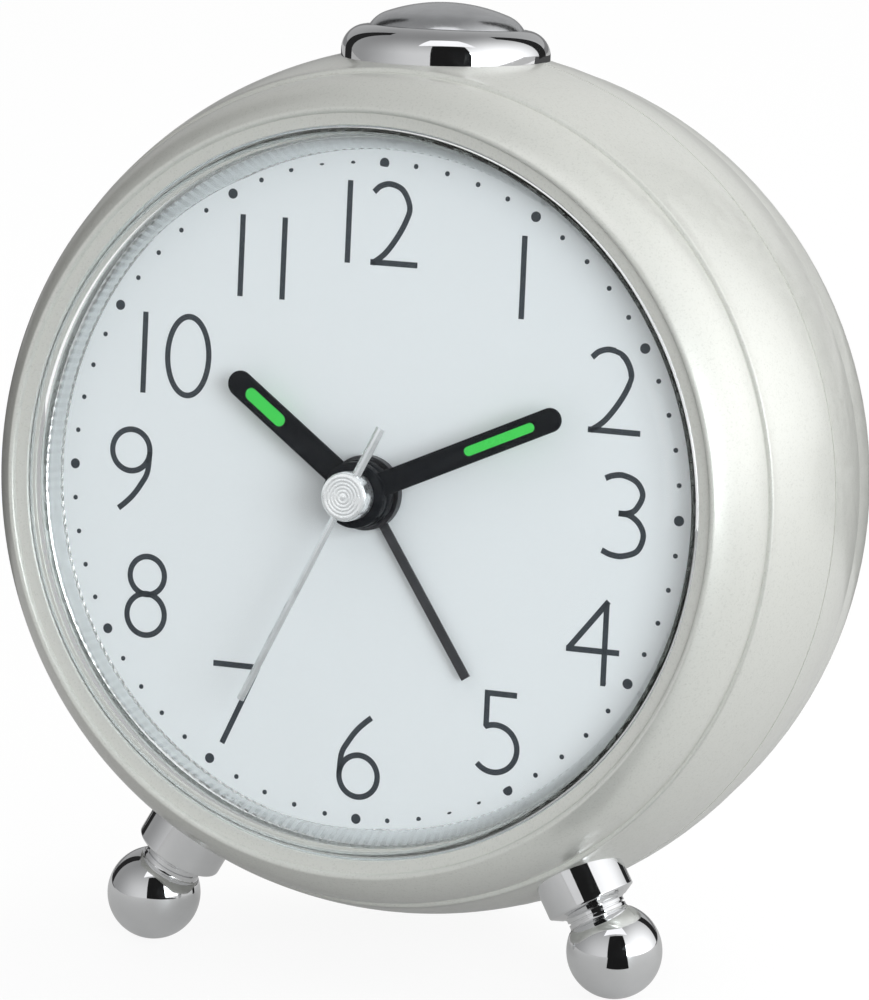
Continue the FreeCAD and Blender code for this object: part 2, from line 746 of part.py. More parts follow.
def battery_door():
    plate = rounded_slab(door_half_x, door_half_z, door_corner, back_y - door_t, back_y, 0, battery_z)
    half_x = bay_half - bay_wall - fit
    half_z = battery_r + bay_gap - fit
    skirt_t = 0.8
    skirt = slab(-half_x, half_x, back_y - door_t - door_skirt, back_y - door_t, battery_z - half_z,
                 battery_z + half_z)
    skirt = skirt.cut(slab(-seam_r, seam_r, 0, back_y - door_t, battery_z - half_z + skirt_t,
                           battery_z + half_z - skirt_t))
    grips = [slab(-6, 6, back_y - 0.5, back_y + 1, battery_z - 3.2 + 1.6 * k, battery_z - 2.6 + 1.6 * k)
             for k in range(5)]
    reach = battery_len / 2 + contact_room
    room = lengthwise(rod(battery_r + 0.15, -reach, reach), 0, battery_y, battery_z)
    return plate.fuse(skirt.cut(room)).cut([finger_scoop()] + grips).removeSplitter()


# ---------------------------------------------------------------- knobs, slider and buzzer
knob_places = [(time_x, time_z), (alarm_x, alarm_z)]
move_front_y = dial_t
inner_plate_y = move_front_y + move_plate_t


def knob(x, z):
    """Fluted setting knob, pushed on to its stem."""
    y0 = back_y - knob_sink + 0.5
    y1 = y0 + knob_h
    flutes = 28
    points = []
    for k in range(flutes * 2):
        r = knob_r if k % 2 else knob_r - 0.3
        dx, dz = polar(r, 180 * k / flutes)
        points.append(V(x + dx, y0, z + dz))
    body = Part.Face(Part.makePolygon(points + points[:1])).extrude(V(0, y1 - y0, 0))
    chamfered = aimed(turned((0, 0), (knob_r - 0.6, 0), (knob_r + 0.4, 1.0), (knob_r + 0.4, 20), (0, 20)),
                  V(0, -1, 0), V(x, y1, z))
    dish = Part.makeSphere(14, V(x, y1 + 13.4, z))
    body = body.common(chamfered).cut([dish, rod(stem_r, y0 - 1, y0 + 3.0, x, z)])
    return body.removeSplitter()


def time_set_knob():
    return knob(time_x, time_z)


def alarm_set_knob():
    return knob(alarm_x, alarm_z)


def stem(x, z, leaves, gear_y1):
    """Long stem from its pivot in the movement's front plate, through its pinion, to the knob."""
    pivot = rod(pivot_r, move_front_y + 0.7, gear_y1 - 1.0, x, z)
    shaft = rod(stem_r, gear_y1 - 1.0, back_y - knob_sink + 3.5, x, z)
    return pivot.fuse([shaft, leaves]).removeSplitter()


def pinion(teeth, module, y, aim, x=0, z=0, past=0.1):
    """Pinion a little wider than the wheel it drives, which starts at depth y."""
    return gear(teeth, module, y - 0.1, y + wheel_t + past, aim, x, z)


def time_set_stem():
    leaves = pinion(knob_teeth, time_m, motion_y, time_aim, time_x, time_z)
    return stem(time_x, time_z, leaves, motion_y + wheel_t + 0.6)


def alarm_set_stem():
    leaves = pinion(alarm_leaves, alarm_m, alarm_y, alarm_knob_aim, alarm_x, alarm_z)
    return stem(alarm_x, alarm_z, leaves, alarm_y + wheel_t + 0.6)


slot_half = 2.2 + slider_travel / 2
slot_h = 1.5


def slider_slot():
    return slab(-slot_half, slot_half, back_y - 2 * wall, back_y + 1, slider_z - slot_h, slider_z + slot_h)


def alarm_slider():
    """Thumb piece of the alarm switch, at the left end of its slot."""
    x = -slider_travel / 2
    neck_h = slot_h - 0.2
    y = back_y - wall
    neck = slab(x - 1.9, x + 1.9, y - 1.0, back_y + 1.3, slider_z - neck_h, slider_z + neck_h)
    foot_plate = slab(x - 2.6, x + 2.6, y - 1.4, y - 0.3, slider_z - 2.0, slider_z + 2.0)
    ribs = [slab(x - 1.5 + 1.2 * k, x - 0.9 + 1.2 * k, back_y + 0.9, back_y + 2, slider_z - 2, slider_z + 2)
            for k in range(3)]
    return neck.fuse(foot_plate).cut(ribs).removeSplitter()


def alarm_switch():
    y1 = back_y - wall - 0.2
    body = slab(-5.4, 5.4, y1 - 4.0, y1 + 0.2, slider_z - 2.9, slider_z + 2.9)
    room = slab(-4.6, 4.6, y1 - 1.4, y1 + 1, slider_z - 2.2, slider_z + 2.2)
    return body.cut(room).removeSplitter()


def buzzer_disc():
    y1 = back_y - wall - 0.6
    return rod(buzzer_r, y1 - 0.3, y1, 0, buzzer_z).fuse(rod(buzzer_r - 2, y1 - 0.6, y1 - 0.3, 0, buzzer_z))


# ---------------------------------------------------------------- movement case
pillars = [(20, 18.5), (-20, 18.5), (20, -12.5), (-20, -12.5)]
corner_screws = [(sx * (move_half - 4.4), sz * (move_half - 4.4)) for sx in (-1, 1) for sz in (-1, 1)]
cover_y = move_back_y - move_wall
sleeve_r = 3.4


def movement_front_plate():
    """Front of the movement case, with the bush for the hands' tubes and the pillars of the bridge."""
    plate = rounded_slab(move_half, move_half, move_corner, move_front_y, inner_plate_y)
    rim = rounded_slab(move_half + move_rim, move_half + move_rim, move_corner, move_front_y,
                       move_front_y + move_rim_t)
    bush = rod(sleeve_r, -0.4, move_front_y)
    posts_up = [rod(2.0, inner_plate_y, bridge_y, x, z) for x, z in pillars]
    bosses = [rod(2.4, inner_plate_y, inner_plate_y + 5, x, z) for x, z in corner_screws]
    cuts = [rod(alarm_pipe_r + run, -2, inner_plate_y + 1)]
    cuts += [rod(pivot_r + run, move_front_y + 0.6, inner_plate_y + 1, x, z) for x, z in knob_places]
    cuts += [rod(0.75, inner_plate_y - 0.5, inner_plate_y + 6, x, z) for x, z in corner_screws]
    return plate.fuse([rim, bush] + posts_up + bosses).cut(cuts).removeSplitter()


def movement_back_cover():
    outer = rounded_slab(move_half, move_half, move_corner, inner_plate_y, move_back_y)
    inner = rounded_slab(move_half - move_wall, move_half - move_wall, move_corner - move_wall,
                         inner_plate_y - 1, cover_y)
    bosses = [rod(2.4, inner_plate_y + 5.1, cover_y + 0.2, x, z) for x, z in corner_screws]
    seats = [rod(1.6, cover_y - 1.6, cover_y + 0.2, x, z) for x, z in
             ((0, 0), (third_x, third_z), (fifth_x, fifth_z), (rotor_x, rotor_z))]
    cuts = [rod(stem_r + run, cover_y - 1, move_back_y + 1, x, z) for x, z in knob_places]
    cuts += [rod(arbor_r + run, cover_y - 2, cover_y, x, z)
             for x, z in ((third_x, third_z), (fifth_x, fifth_z), (rotor_x, rotor_z))]
    cuts += [rod(seconds_r + run, cover_y - 2, cover_y)]
    cuts += [rod(0.9, inner_plate_y, move_back_y + 1, x, z) for x, z in corner_screws]
    cuts += [rod(1.7, move_back_y - 0.9, move_back_y + 1, x, z) for x, z in corner_screws]
    cuts += [slab(-board_half - 0.2, board_half + 0.2, board_y - 0.1, board_y + board_t + 0.1,
                  -move_half - 1, -move_half + 2)]
    return outer.cut(inner).fuse(bosses + seats).cut(cuts).removeSplitter()


def movement_screws():
    screws = []
    seat = move_back_y - 0.9
    for x, z in corner_screws:
        screw = rod(1.5, seat, move_back_y - 0.1, x, z).fuse(rod(0.7, inner_plate_y, seat, x, z))
        slot_cut = slab(x - 1.6, x + 1.6, move_back_y - 0.5, move_back_y + 1, z - 0.2, z + 0.2)
        screws.append(screw.cut(slot_cut).removeSplitter())
    return Part.makeCompound(screws)


def train_bridge():
    """Middle plate: it carries the minute wheel in front and the front pivots of the train behind."""
    plate = rounded_slab(23, 17.5, 3, bridge_y, bridge_y + bridge_t, 0, 3)
    stud = rod(arbor_r, hour_y - 0.3, bridge_y, minute_x, minute_z)
    rests = [rod(1.5, bridge_y + bridge_t, stator_y, x, z) for x, z in ((leg_left, -8), (leg_right, -12))]
    cuts = [rod(cannon_tube_r + 0.3, bridge_y - 1, bridge_y + 3)]
    cuts += [rod(arbor_r + run, bridge_y + 0.2, bridge_y + 3, x, z)
             for x, z in ((third_x, third_z), (fifth_x, fifth_z), (rotor_x, rotor_z))]
    cuts += [rod(stem_r + 0.3, bridge_y - 1, bridge_y + 3, x, z) for x, z in knob_places]
    return plate.fuse([stud] + rests).cut(cuts).removeSplitter()


# ---------------------------------------------------------------- motor
stator_y = bridge_y + 2.7
stator_t = 1.0
coil_z = -19.5
leg_left, leg_right = -20.0, -6.0
magnet_r = 1.9


def stator():
    """Soft iron loop: the rotor's pole piece and two legs down to the coil."""
    pole = slab(leg_left - 2, leg_right + 2, stator_y, stator_y + stator_t, rotor_z - 4.5, rotor_z + 4.5)
    legs = [slab(x - 2, x + 2, stator_y, stator_y + stator_t, coil_z - 2, rotor_z)
            for x in (leg_left, leg_right)]
    holes = [rod(magnet_r + 0.5, stator_y - 1, stator_y + 3, rotor_x, rotor_z),
             rod(arbor_r + 0.6, stator_y - 1, stator_y + 3, fifth_x, fifth_z)]
    return pole.fuse(legs).cut(holes).removeSplitter()


def coil_bobbin():
    """Iron core with the coil's former on it, clamped behind the stator's legs."""
    y = stator_y + stator_t
    core = slab(leg_left - 1.5, leg_right + 1.5, y, y + 1.0, coil_z - 1.2, coil_z + 1.2)
    former = slab(leg_left + 2.6, leg_right - 2.6, y - 0.5, y + 1.5, coil_z - 1.7, coil_z + 1.7)
    ends = [slab(x - 0.4, x + 0.4, y - 2.4, y + 3.4, coil_z - 3.6, coil_z + 3.6)
            for x in (leg_left + 3.0, leg_right - 3.0)]
    return core.fuse([former] + ends).removeSplitter()


def coil_winding():
    y = stator_y + stator_t + 0.5
    return lengthwise(tube(2.8, 0.1, leg_left + 3.45, leg_right - 3.45), 0, y, coil_z).cut(
        slab(leg_left, leg_right, y - 1.02, y + 1.02, coil_z - 1.72, coil_z + 1.72))


def rotor():
    """Rotor arbor with its pinion and the collar that holds the magnet."""
    leaves = pinion(rotor_leaves, rotor_m, fifth_y, rotor_aim, rotor_x, rotor_z, past=0.2)
    arbor = rod(arbor_r, bridge_y + 0.3, cover_y - 0.1, rotor_x, rotor_z)
    collar = rod(0.8, stator_y - 1.2, fifth_y - 0.5, rotor_x, rotor_z)
    return arbor.fuse([leaves, collar]).removeSplitter()


def rotor_magnet():
    return tube(magnet_r, 0.8, stator_y - 0.6, stator_y + stator_t + 0.6, rotor_x, rotor_z)


# ---------------------------------------------------------------- going train
def wheel(disc, leaves, hub, arbor_at=None):
    """Wheel with its hub and pinion, moulded as one; with a place given, on an arbor between its pivots."""
    extra = [rod(arbor_r, bridge_y + 0.3, cover_y - 0.1, *arbor_at)] if arbor_at else []
    return disc.fuse([leaves, hub] + extra).removeSplitter()


def fifth_wheel():
    disc = gear(fifth_teeth, rotor_m, fifth_y, fifth_y + wheel_t, 0, fifth_x, fifth_z)
    leaves = pinion(fifth_leaves, seconds_m, seconds_y, fifth_aim, fifth_x, fifth_z, past=0.2)
    hub = rod(1.0, seconds_y - 0.8, fifth_y + 1.3, fifth_x, fifth_z)
    return wheel(disc, leaves, hub, (fifth_x, fifth_z))


def seconds_wheel():
    disc = gear(seconds_teeth, seconds_m, seconds_y, seconds_y + wheel_t, 0)
    leaves = pinion(seconds_leaves, third_m, third_y, 0, past=0.2)
    body = wheel(disc, leaves, rod(1.6, seconds_y - 0.3, seconds_y + 1.4))
    return body.cut(rod(seconds_r, 0, cover_y)).removeSplitter()


def seconds_shaft():
    return rod(seconds_r, cap_face_y + 0.6, cover_y - 0.1)


def third_wheel():
    disc = gear(third_teeth, third_m, third_y, third_y + wheel_t, third_aim, third_x, third_z)
    leaves = pinion(third_leaves, centre_m, centre_y, 0, third_x, third_z)
    hub = rod(1.3, third_y - 0.4, third_y + 1.2, third_x, third_z)
    return wheel(disc, leaves, hub, (third_x, third_z))


cannon_tube_r = seconds_r + run + tube_wall
hour_pipe_r = cannon_tube_r + run + tube_wall
alarm_pipe_r = hour_pipe_r + run + tube_wall


def centre_wheel():
    """Wheel that turns once an hour and carries the cannon pinion round by friction."""
    body = gear(centre_teeth, centre_m, centre_y, centre_y + wheel_t, centre_aim)
    body = body.fuse(rod(2.1, centre_y - 0.3, centre_y + 1.2))
    return body.cut(rod(cannon_tube_r + run, centre_y - 2, centre_y + 3)).removeSplitter()


def cannon_pinion():
    """Tube of the minute hand, with the pinion that drives the minute wheel."""
    body = pinion(cannon_teeth, time_m, motion_y, 0)
    body = body.fuse(rod(cannon_tube_r, minute_hand_y - 0.6, centre_y + 1.1))
    return body.cut(rod(seconds_r + run, -20, 20)).removeSplitter()


def minute_wheel():
    disc = gear(minute_teeth, time_m, motion_y, motion_y + wheel_t, minute_aim, minute_x, minute_z)
    leaves = gear(minute_leaves, hour_m, hour_y - 0.1, motion_y, 0, minute_x, minute_z)
    return disc.fuse(leaves).cut(rod(arbor_r + run, 0, 20, minute_x, minute_z)).removeSplitter()


def hour_wheel():
    disc = gear(hour_teeth, hour_m, hour_y, hour_y + wheel_t, hour_aim)
    pipe = rod(hour_pipe_r, hour_hand_y - 0.45, hour_y)
    return disc.fuse(pipe).cut(rod(cannon_tube_r + run, -20, 20)).removeSplitter()


def alarm_wheel():
    disc = gear(alarm_teeth, alarm_m, alarm_y, alarm_y + wheel_t, 0)
    pipe = rod(alarm_pipe_r, alarm_hand_y - 0.45, alarm_y)
    return disc.fuse(pipe).cut(rod(hour_pipe_r + run, -20, 20)).removeSplitter()


# ---------------------------------------------------------------- hands
def bar(length, width, y):
    """Straight hand pointing to 12, rounded at its tip, with its front face at y."""
    reach = length - width / 2
    tip = rod(width / 2, y, y + hand_t, 0, reach)
    return slab(-width / 2, width / 2, y, y + hand_t, 0, reach).fuse(tip)


def slot(size, y0, y1):
    start, end, width = size
    low, high = start + width / 2, end - width / 2
    block = slab(-width / 2, width / 2, y0, y1, low, high)
    return block.fuse([rod(width / 2, y0, y1, 0, low), rod(width / 2, y0, y1, 0, high)]).removeSplitter()


def alarm_hand():
    arm = slab(-alarm_hand_w / 2, alarm_hand_w / 2, alarm_hand_y, alarm_hand_y + 0.25, 0, alarm_hand_len)
    body = arm.fuse(rod(alarm_boss_r, alarm_hand_y - 0.45, alarm_hand_y + 0.6))
    return spun(body.cut(rod(alarm_pipe_r, -9, 9)).removeSplitter(), alarm_at)


def hour_hand():
    body = bar(hour_hand_len, hour_hand_w, hour_hand_y).fuse(
        rod(hour_boss_r, hour_hand_y - 0.45, hour_hand_y + 0.9))
    body = body.cut([rod(hour_pipe_r, -9, 9), slot(hour_slot, hour_hand_y - 1, hour_hand_y + 1)])
    return spun(body.removeSplitter(), hour_at)


def hour_lume():
    return spun(slot(hour_slot, hour_hand_y + 0.05, hour_hand_y + hand_t - 0.05), hour_at)


def minute_hand():
    body = bar(minute_hand_len, minute_hand_w, minute_hand_y).fuse(
        rod(minute_boss_r, minute_hand_y - 0.6, minute_hand_y + 0.55))
    body = body.cut([rod(cannon_tube_r, -9, 9), slot(minute_slot, minute_hand_y - 1, minute_hand_y + 1)])
    return spun(body.removeSplitter(), minute_at)


def minute_lume():
    return spun(slot(minute_slot, minute_hand_y + 0.05, minute_hand_y + hand_t - 0.05), minute_at)


def second_hand():
    """Folded strip with a ridge along its middle, longer to the tip than to the tail."""
    half = second_hand_w / 2
    tail_half = half * 1.25
    fold_h = 0.42
    arms = []
    for w, z0, z1 in ((half, cap_size_r, second_hand_len), (tail_half, -second_tail, -cap_size_r)):
        fold = [(-w, 0.3), (-w * 0.3, 0), (w * 0.3, 0), (w, 0.3), (w, fold_h), (-w, fold_h)]
        points = [V(x, second_hand_y + y, z0) for x, y in fold]
        arms.append(Part.Face(Part.makePolygon(points + points[:1])).extrude(V(0, 0, z1 - z0)))
    root = slab(-fold_h, fold_h, second_hand_y + 0.05, second_hand_y + fold_h, -cap_size_r, cap_size_r)
    collar = rod(cap_size_r - 0.5, second_hand_y + fold_h, cap_back_y - 0.25)
    body = arms[0].fuse([arms[1], root, collar]).cut(rod(seconds_r, -9, 9))
    return spun(body.removeSplitter(), second_at)


def second_cap():
    """Turned cap over the second hand's collar, with fine rings on its face."""
    r = cap_size_r
    cap = turned((0, cap_face_y + 0.05), (0.6, cap_face_y + 0.05), (0.7, cap_face_y),
                 (r - 0.35, cap_face_y), ((r - 0.1, cap_face_y + 0.1), (r, cap_face_y + 0.35)),
                 (r, cap_back_y), (0, cap_back_y))
    rings = [turned((q, cap_face_y - 1), (q + 0.1, cap_face_y - 1), (q + 0.1, cap_face_y + 0.06),
                    (q, cap_face_y + 0.06)) for q in (1.05, 1.55, 2.05)]
    hollow = [spun(slab(-0.6, 0.6, second_hand_y - 0.02, cap_back_y + 1, -9, 9), second_at),
              rod(r - 0.48, second_hand_y + 0.4, cap_back_y + 1)]
    return cap.cut(rings + hollow).cut(rod(seconds_r + 0.01, cap_face_y + 0.59, 0)).removeSplitter()


# ---------------------------------------------------------------- electronics
board_half = 20.5
board_y = 14.6
board_t = 0.8
board_z0, board_z1 = -move_half - 3.4, -18.2


def circuit_board():
    return slab(-board_half, board_half, board_y, board_y + board_t, board_z0, board_z1)


def quartz_crystal():
    can = lengthwise(rod(1.0, 4.0, 10.0), 0, board_y - 1.02, -22.0)
    legs = [lengthwise(rod(0.15, 2.2, 4.0), 0, board_y - 0.6, -22.0 + s * 0.5) for s in (-1, 1)]
    pads = [slab(2.0, 2.6, board_y - 0.6, board_y, -22.3 + s * 0.5, -21.7 + s * 0.5) for s in (-1, 1)]
    return can.fuse(legs + pads).removeSplitter()


def clock_chip():
    """Blob of resin over the clock's chip, on the back of the board."""
    blob = turned((0, -0.02), (3.2, -0.02), (3.2, 0.1), (crown(3.2, 0.8, 0.1), (0, 0.8)))
    return aimed(blob, V(0, 1, 0), V(-6, board_y + board_t + 0.02, -23.5))


def lead(route):
    """Insulated wire: straight runs joined by tangent arcs."""
    points = [V(*p) for p in route]
    edges = []
    here = points[0]
    for before, at, after in zip(points, points[1:], points[2:]):
        into = (at - before).normalize()
        out = (after - at).normalize()
        half_turn = into.getAngle(out) / 2
        trim = 0.45 * min(before.distanceToPoint(at), at.distanceToPoint(after))
        radius = trim / math.tan(half_turn)
        inward = (out - into).normalize()
        start, end = at - into * trim, at + out * trim
        middle = at + inward * (radius / math.cos(half_turn) - radius)
        edges += [Part.makeLine(here, start), Part.Arc(start, middle, end).toShape()]
        here = end
    edges.append(Part.makeLine(here, points[-1]))
    section = Part.Wire(Part.makeCircle(wire_r, points[0], points[1] - points[0]))
    return Part.Wire(edges).makePipeShell([section], True, True)


pad_y = board_y + board_t
pad_z = board_z0 + 1.2


def battery_leads():
    """One wire from each contact's tab, round the bay, to the board's lower edge."""
    tab_y = battery_y - battery_r - 0.1
    wires = []
    for side in (-1, 1):
        x = side * lead_x
        wires.append(lead([
            (x, tab_y + 0.05, battery_z), (x, bay_y - bay_wall - 2.0, battery_z),
            (side * 20, pad_y + 4.5, battery_z - 8), (side * 17, pad_y + 3.5, pad_z),
            (side * 17, pad_y, pad_z)]))
    return Part.makeCompound(wires)


def switch_leads():
    """Two wires from the snooze switch, down behind the movement, to the board."""
    wires = []
    for k, x in enumerate(switch_lead_x):
        foot_x = 11 + 2.4 * k
        wires.append(lead([
            (x, seam_y + switch_lead_z, switch_floor), (x, seam_y + switch_lead_z, housing_floor - 3),
            (22 + 2 * k, move_back_y + 2.6, 20), (24 + 2 * k, move_back_y + 1.6, 0),
            (foot_x + 6, pad_y + 3.6, -22), (foot_x, pad_y + 3.2, pad_z), (foot_x, pad_y, pad_z)]))
    return Part.makeCompound(wires)


def buzzer_leads():
    """Two wires from the buzzer to the board, past the left side of the bay."""
    y1 = back_y - wall - 1.2
    wires = []
    for k, x in enumerate((-2.0, -4.4)):
        foot_x = -10 - 2.4 * k
        wires.append(lead([
            (x, y1, buzzer_z + 1), (x, y1 - 5, buzzer_z + 1), (-22 - 2 * k, y1 - 14, 16),
            (-24 - 2 * k, move_back_y + 1.6, 0), (foot_x - 6, pad_y + 3.6, -22),
            (foot_x, pad_y + 3.2, pad_z), (foot_x, pad_y, pad_z)]))
    return Part.makeCompound(wires)


def alarm_leads():
    """Two wires from the alarm switch, over the bay, to the board."""
    y0 = back_y - wall - 4.2
    wires = []
    for k, x in enumerate((-2.0, 2.0)):
        foot_x = -4 + 2.4 * k
        wires.append(lead([
            (x, y0, slider_z), (x, y0 - 4, slider_z), (x, move_back_y + 2.6, slider_z - 7),
            (foot_x, move_back_y + 2.4, -22), (foot_x, pad_y + 3.2, pad_z), (foot_x, pad_y, pad_z)]))
    return Part.makeCompound(wires)


nodes = {
    "front_case": front_case, "rear_case": rear_case, "crystal": crystal, "reflector_ring": reflector_ring,
    "dial_plate": dial_plate, "inner_frame": inner_frame, "frame_screws": frame_screws,
    "case_screws": case_screws, "foot_left": lambda: foot(-1), "foot_right": lambda: foot(1),
    "foot_screws": foot_screws, "rear_foot": rear_foot, "button_collar": button_collar,
    "button_housing": button_housing, "button_cap": button_cap, "button_spring": button_spring,
    "snooze_switch": snooze_switch, "battery": battery, "battery_contact_plus": battery_contact_plus,
    "battery_spring_minus": battery_spring_minus, "battery_door": battery_door,
    "battery_leads": battery_leads, "switch_leads": switch_leads, "buzzer_leads": buzzer_leads,
    "alarm_leads": alarm_leads, "time_set_knob": time_set_knob, "time_set_stem": time_set_stem,
    "alarm_set_knob": alarm_set_knob, "alarm_set_stem": alarm_set_stem, "alarm_slider": alarm_slider,
    "alarm_switch": alarm_switch, "buzzer_disc": buzzer_disc, "movement_front_plate": movement_front_plate,
    "movement_back_cover": movement_back_cover, "movement_screws": movement_screws,
    "train_bridge": train_bridge, "stator": stator, "coil_bobbin": coil_bobbin,
    "coil_winding": coil_winding, "rotor": rotor, "rotor_magnet": rotor_magnet, "fifth_wheel": fifth_wheel,
    "seconds_wheel": seconds_wheel, "seconds_shaft": seconds_shaft, "third_wheel": third_wheel,
    "centre_wheel": centre_wheel, "cannon_pinion": cannon_pinion, "minute_wheel": minute_wheel,
    "hour_wheel": hour_wheel, "alarm_wheel": alarm_wheel, "alarm_hand": alarm_hand, "hour_hand": hour_hand,
    "hour_lume": hour_lume, "minute_hand": minute_hand, "minute_lume": minute_lume,
    "second_hand": second_hand, "second_cap": second_cap, "circuit_board": circuit_board,
    "quartz_crystal": quartz_crystal, "clock_chip": clock_chip,
}

# ---------------------------------------------------------------- set down on the table and write
made = {}
for name, build in nodes.items():
    shape = build()
    shape.rotate(V(0, 0, 0), V(1, 0, 0), -lean)
    made[name] = shape

extent = FreeCAD.BoundBox()
for shape in made.values():
    extent.add(shape.optimalBoundingBox(True, False))
origin = V(0, -(extent.YMin + extent.YMax) / 2, -floor_z)
for name, shape in made.items():
    shape.translate(origin)
    shape.exportStep(f"parts/{name}.step")

print("nodes", len(made), "dial centre", tuple(origin))
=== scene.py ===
import json
import math

import bmesh
import bpy
import numpy as np
from mathutils import Matrix, Vector
from mathutils.geometry import tessellate_polygon


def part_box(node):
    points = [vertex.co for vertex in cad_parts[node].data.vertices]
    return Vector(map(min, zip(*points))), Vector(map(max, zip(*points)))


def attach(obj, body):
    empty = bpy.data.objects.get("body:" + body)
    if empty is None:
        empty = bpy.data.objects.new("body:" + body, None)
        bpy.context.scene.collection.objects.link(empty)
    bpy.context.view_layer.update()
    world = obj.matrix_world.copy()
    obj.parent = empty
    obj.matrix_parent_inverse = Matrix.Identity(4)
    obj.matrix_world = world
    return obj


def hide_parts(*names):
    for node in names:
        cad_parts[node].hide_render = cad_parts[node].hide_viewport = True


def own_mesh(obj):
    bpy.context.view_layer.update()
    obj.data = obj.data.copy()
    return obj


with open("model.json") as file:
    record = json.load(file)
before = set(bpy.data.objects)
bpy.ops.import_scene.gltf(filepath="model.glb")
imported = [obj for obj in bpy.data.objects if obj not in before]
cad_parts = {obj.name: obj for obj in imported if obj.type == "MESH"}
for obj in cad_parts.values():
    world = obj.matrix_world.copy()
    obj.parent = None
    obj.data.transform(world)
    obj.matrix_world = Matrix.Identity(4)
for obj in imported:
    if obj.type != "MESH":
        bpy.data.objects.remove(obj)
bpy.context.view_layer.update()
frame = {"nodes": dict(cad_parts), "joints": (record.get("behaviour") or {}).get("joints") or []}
scene = bpy.context.scene
scene.view_settings.view_transform = "Standard"

# ---------------------------------------------------------------- the dial's lean
# The clock is built about its dial axis, which tips back on the two front feet. Sizes below are in
# millimetres along that axis: X to the right, Y to the back from the dial's face, Z up the dial.
LEAN = math.radians(6.35)
dial_centre = Vector(next(j["pos_m"] for j in frame["joints"] if j["name"] == "minute_spin"))
leaning = Matrix.Translation(dial_centre) @ Matrix.Rotation(-LEAN, 4, "X") @ Matrix.Scale(0.001, 4)

# ---------------------------------------------------------------- studio
# A long lens from the right and a little above, a pale table, a large soft box low at the right with
# weaker ones in front, behind and above, and plain panels round it that only glossy surfaces pick up.
camera = bpy.data.objects.new("camera", bpy.data.cameras.new("camera"))
scene.collection.objects.link(camera)
camera.data.lens = 211.46
camera.data.sensor_width = 36.0
camera.data.clip_end = 20.0
camera.location = dial_centre + Vector((0.2685, -0.5817, 0.1395))
camera.rotation_euler = (math.radians(77.63), 0.0, math.radians(24.153))
scene.camera = camera


def link(name, mesh):
    """Puts a mesh into the scene under its name."""
    obj = bpy.data.objects.new(name, mesh)
    scene.collection.objects.link(obj)
    return obj


def card(name, centre, size, aim, shader):
    """Flat card in the studio that faces a point, with its own material; it isn't part of the clock."""
    w, h = size[0] / 2, size[1] / 2
    mesh = bpy.data.meshes.new(name)
    mesh.from_pydata([(-w, -h, 0), (w, -h, 0), (w, h, 0), (-w, h, 0)], [], [(0, 1, 2, 3)])
    obj = link(name, mesh)
    obj.location = centre
    obj.rotation_euler = (Vector(aim) - Vector(centre)).to_track_quat("Z", "Y").to_euler()
    mesh.materials.append(shader)


def soft_box(name, centre, size, aim, power, colour=(1.0, 1.0, 1.0), mirrored=True):
    """Soft light that faces a point; mirrored says whether glossy surfaces show its shape."""
    data = bpy.data.lights.new(name, "AREA")
    data.shape = "RECTANGLE"
    data.size, data.size_y = size
    data.energy = power
    data.color = colour
    obj = bpy.data.objects.new(name, data)
    scene.collection.objects.link(obj)
    obj.location = centre
    obj.rotation_euler = (Vector(aim) - Vector(centre)).to_track_quat("-Z", "Y").to_euler()
    obj.visible_camera = False
    obj.visible_glossy = mirrored


heart = (0.0, 0.0, 0.055)
soft_box("key_light", (0.82, -0.69, 0.29), (0.50, 0.46), heart, 4.3, (0.89, 0.965, 1.0))
soft_box("front_light", (0.60, -0.77, 0.27), (0.5, 0.5), heart, 2.5, mirrored=False)
soft_box("fill_light", (-0.52, -0.52, 0.87), (0.6, 0.6), heart, 0.4, mirrored=False)
soft_box("rim_light", (0.85, 0.62, 0.28), (0.7, 0.5), heart, 5.6, mirrored=False)
soft_box("back_light", (0.19, 0.71, 0.87), (0.6, 0.6), heart, 1.8, mirrored=False)


def either_ray(nodes, links, *names):
    """Socket that is 1 for any of these kinds of ray."""
    rays = nodes.new("ShaderNodeLightPath")
    so_far = rays.outputs[names[0]]
    for name in names[1:]:
        more = nodes.new("ShaderNodeMath")
        more.operation = "MAXIMUM"
        links.new(so_far, more.inputs[0])
        links.new(rays.outputs[name], more.inputs[1])
        so_far = more.outputs[0]
    return so_far


def split(nodes, links, factor, first, second, target):
    """Mix of two shaders by a factor, into a target socket."""
    mix = nodes.new("ShaderNodeMixShader")
    links.new(factor, mix.inputs[0])
    links.new(first, mix.inputs[1])
    links.new(second, mix.inputs[2])
    links.new(mix.outputs[0], target)


world = bpy.data.worlds.new("studio")
scene.world = world
world.use_nodes = True
nodes, links = world.node_tree.nodes, world.node_tree.links
nodes.clear()


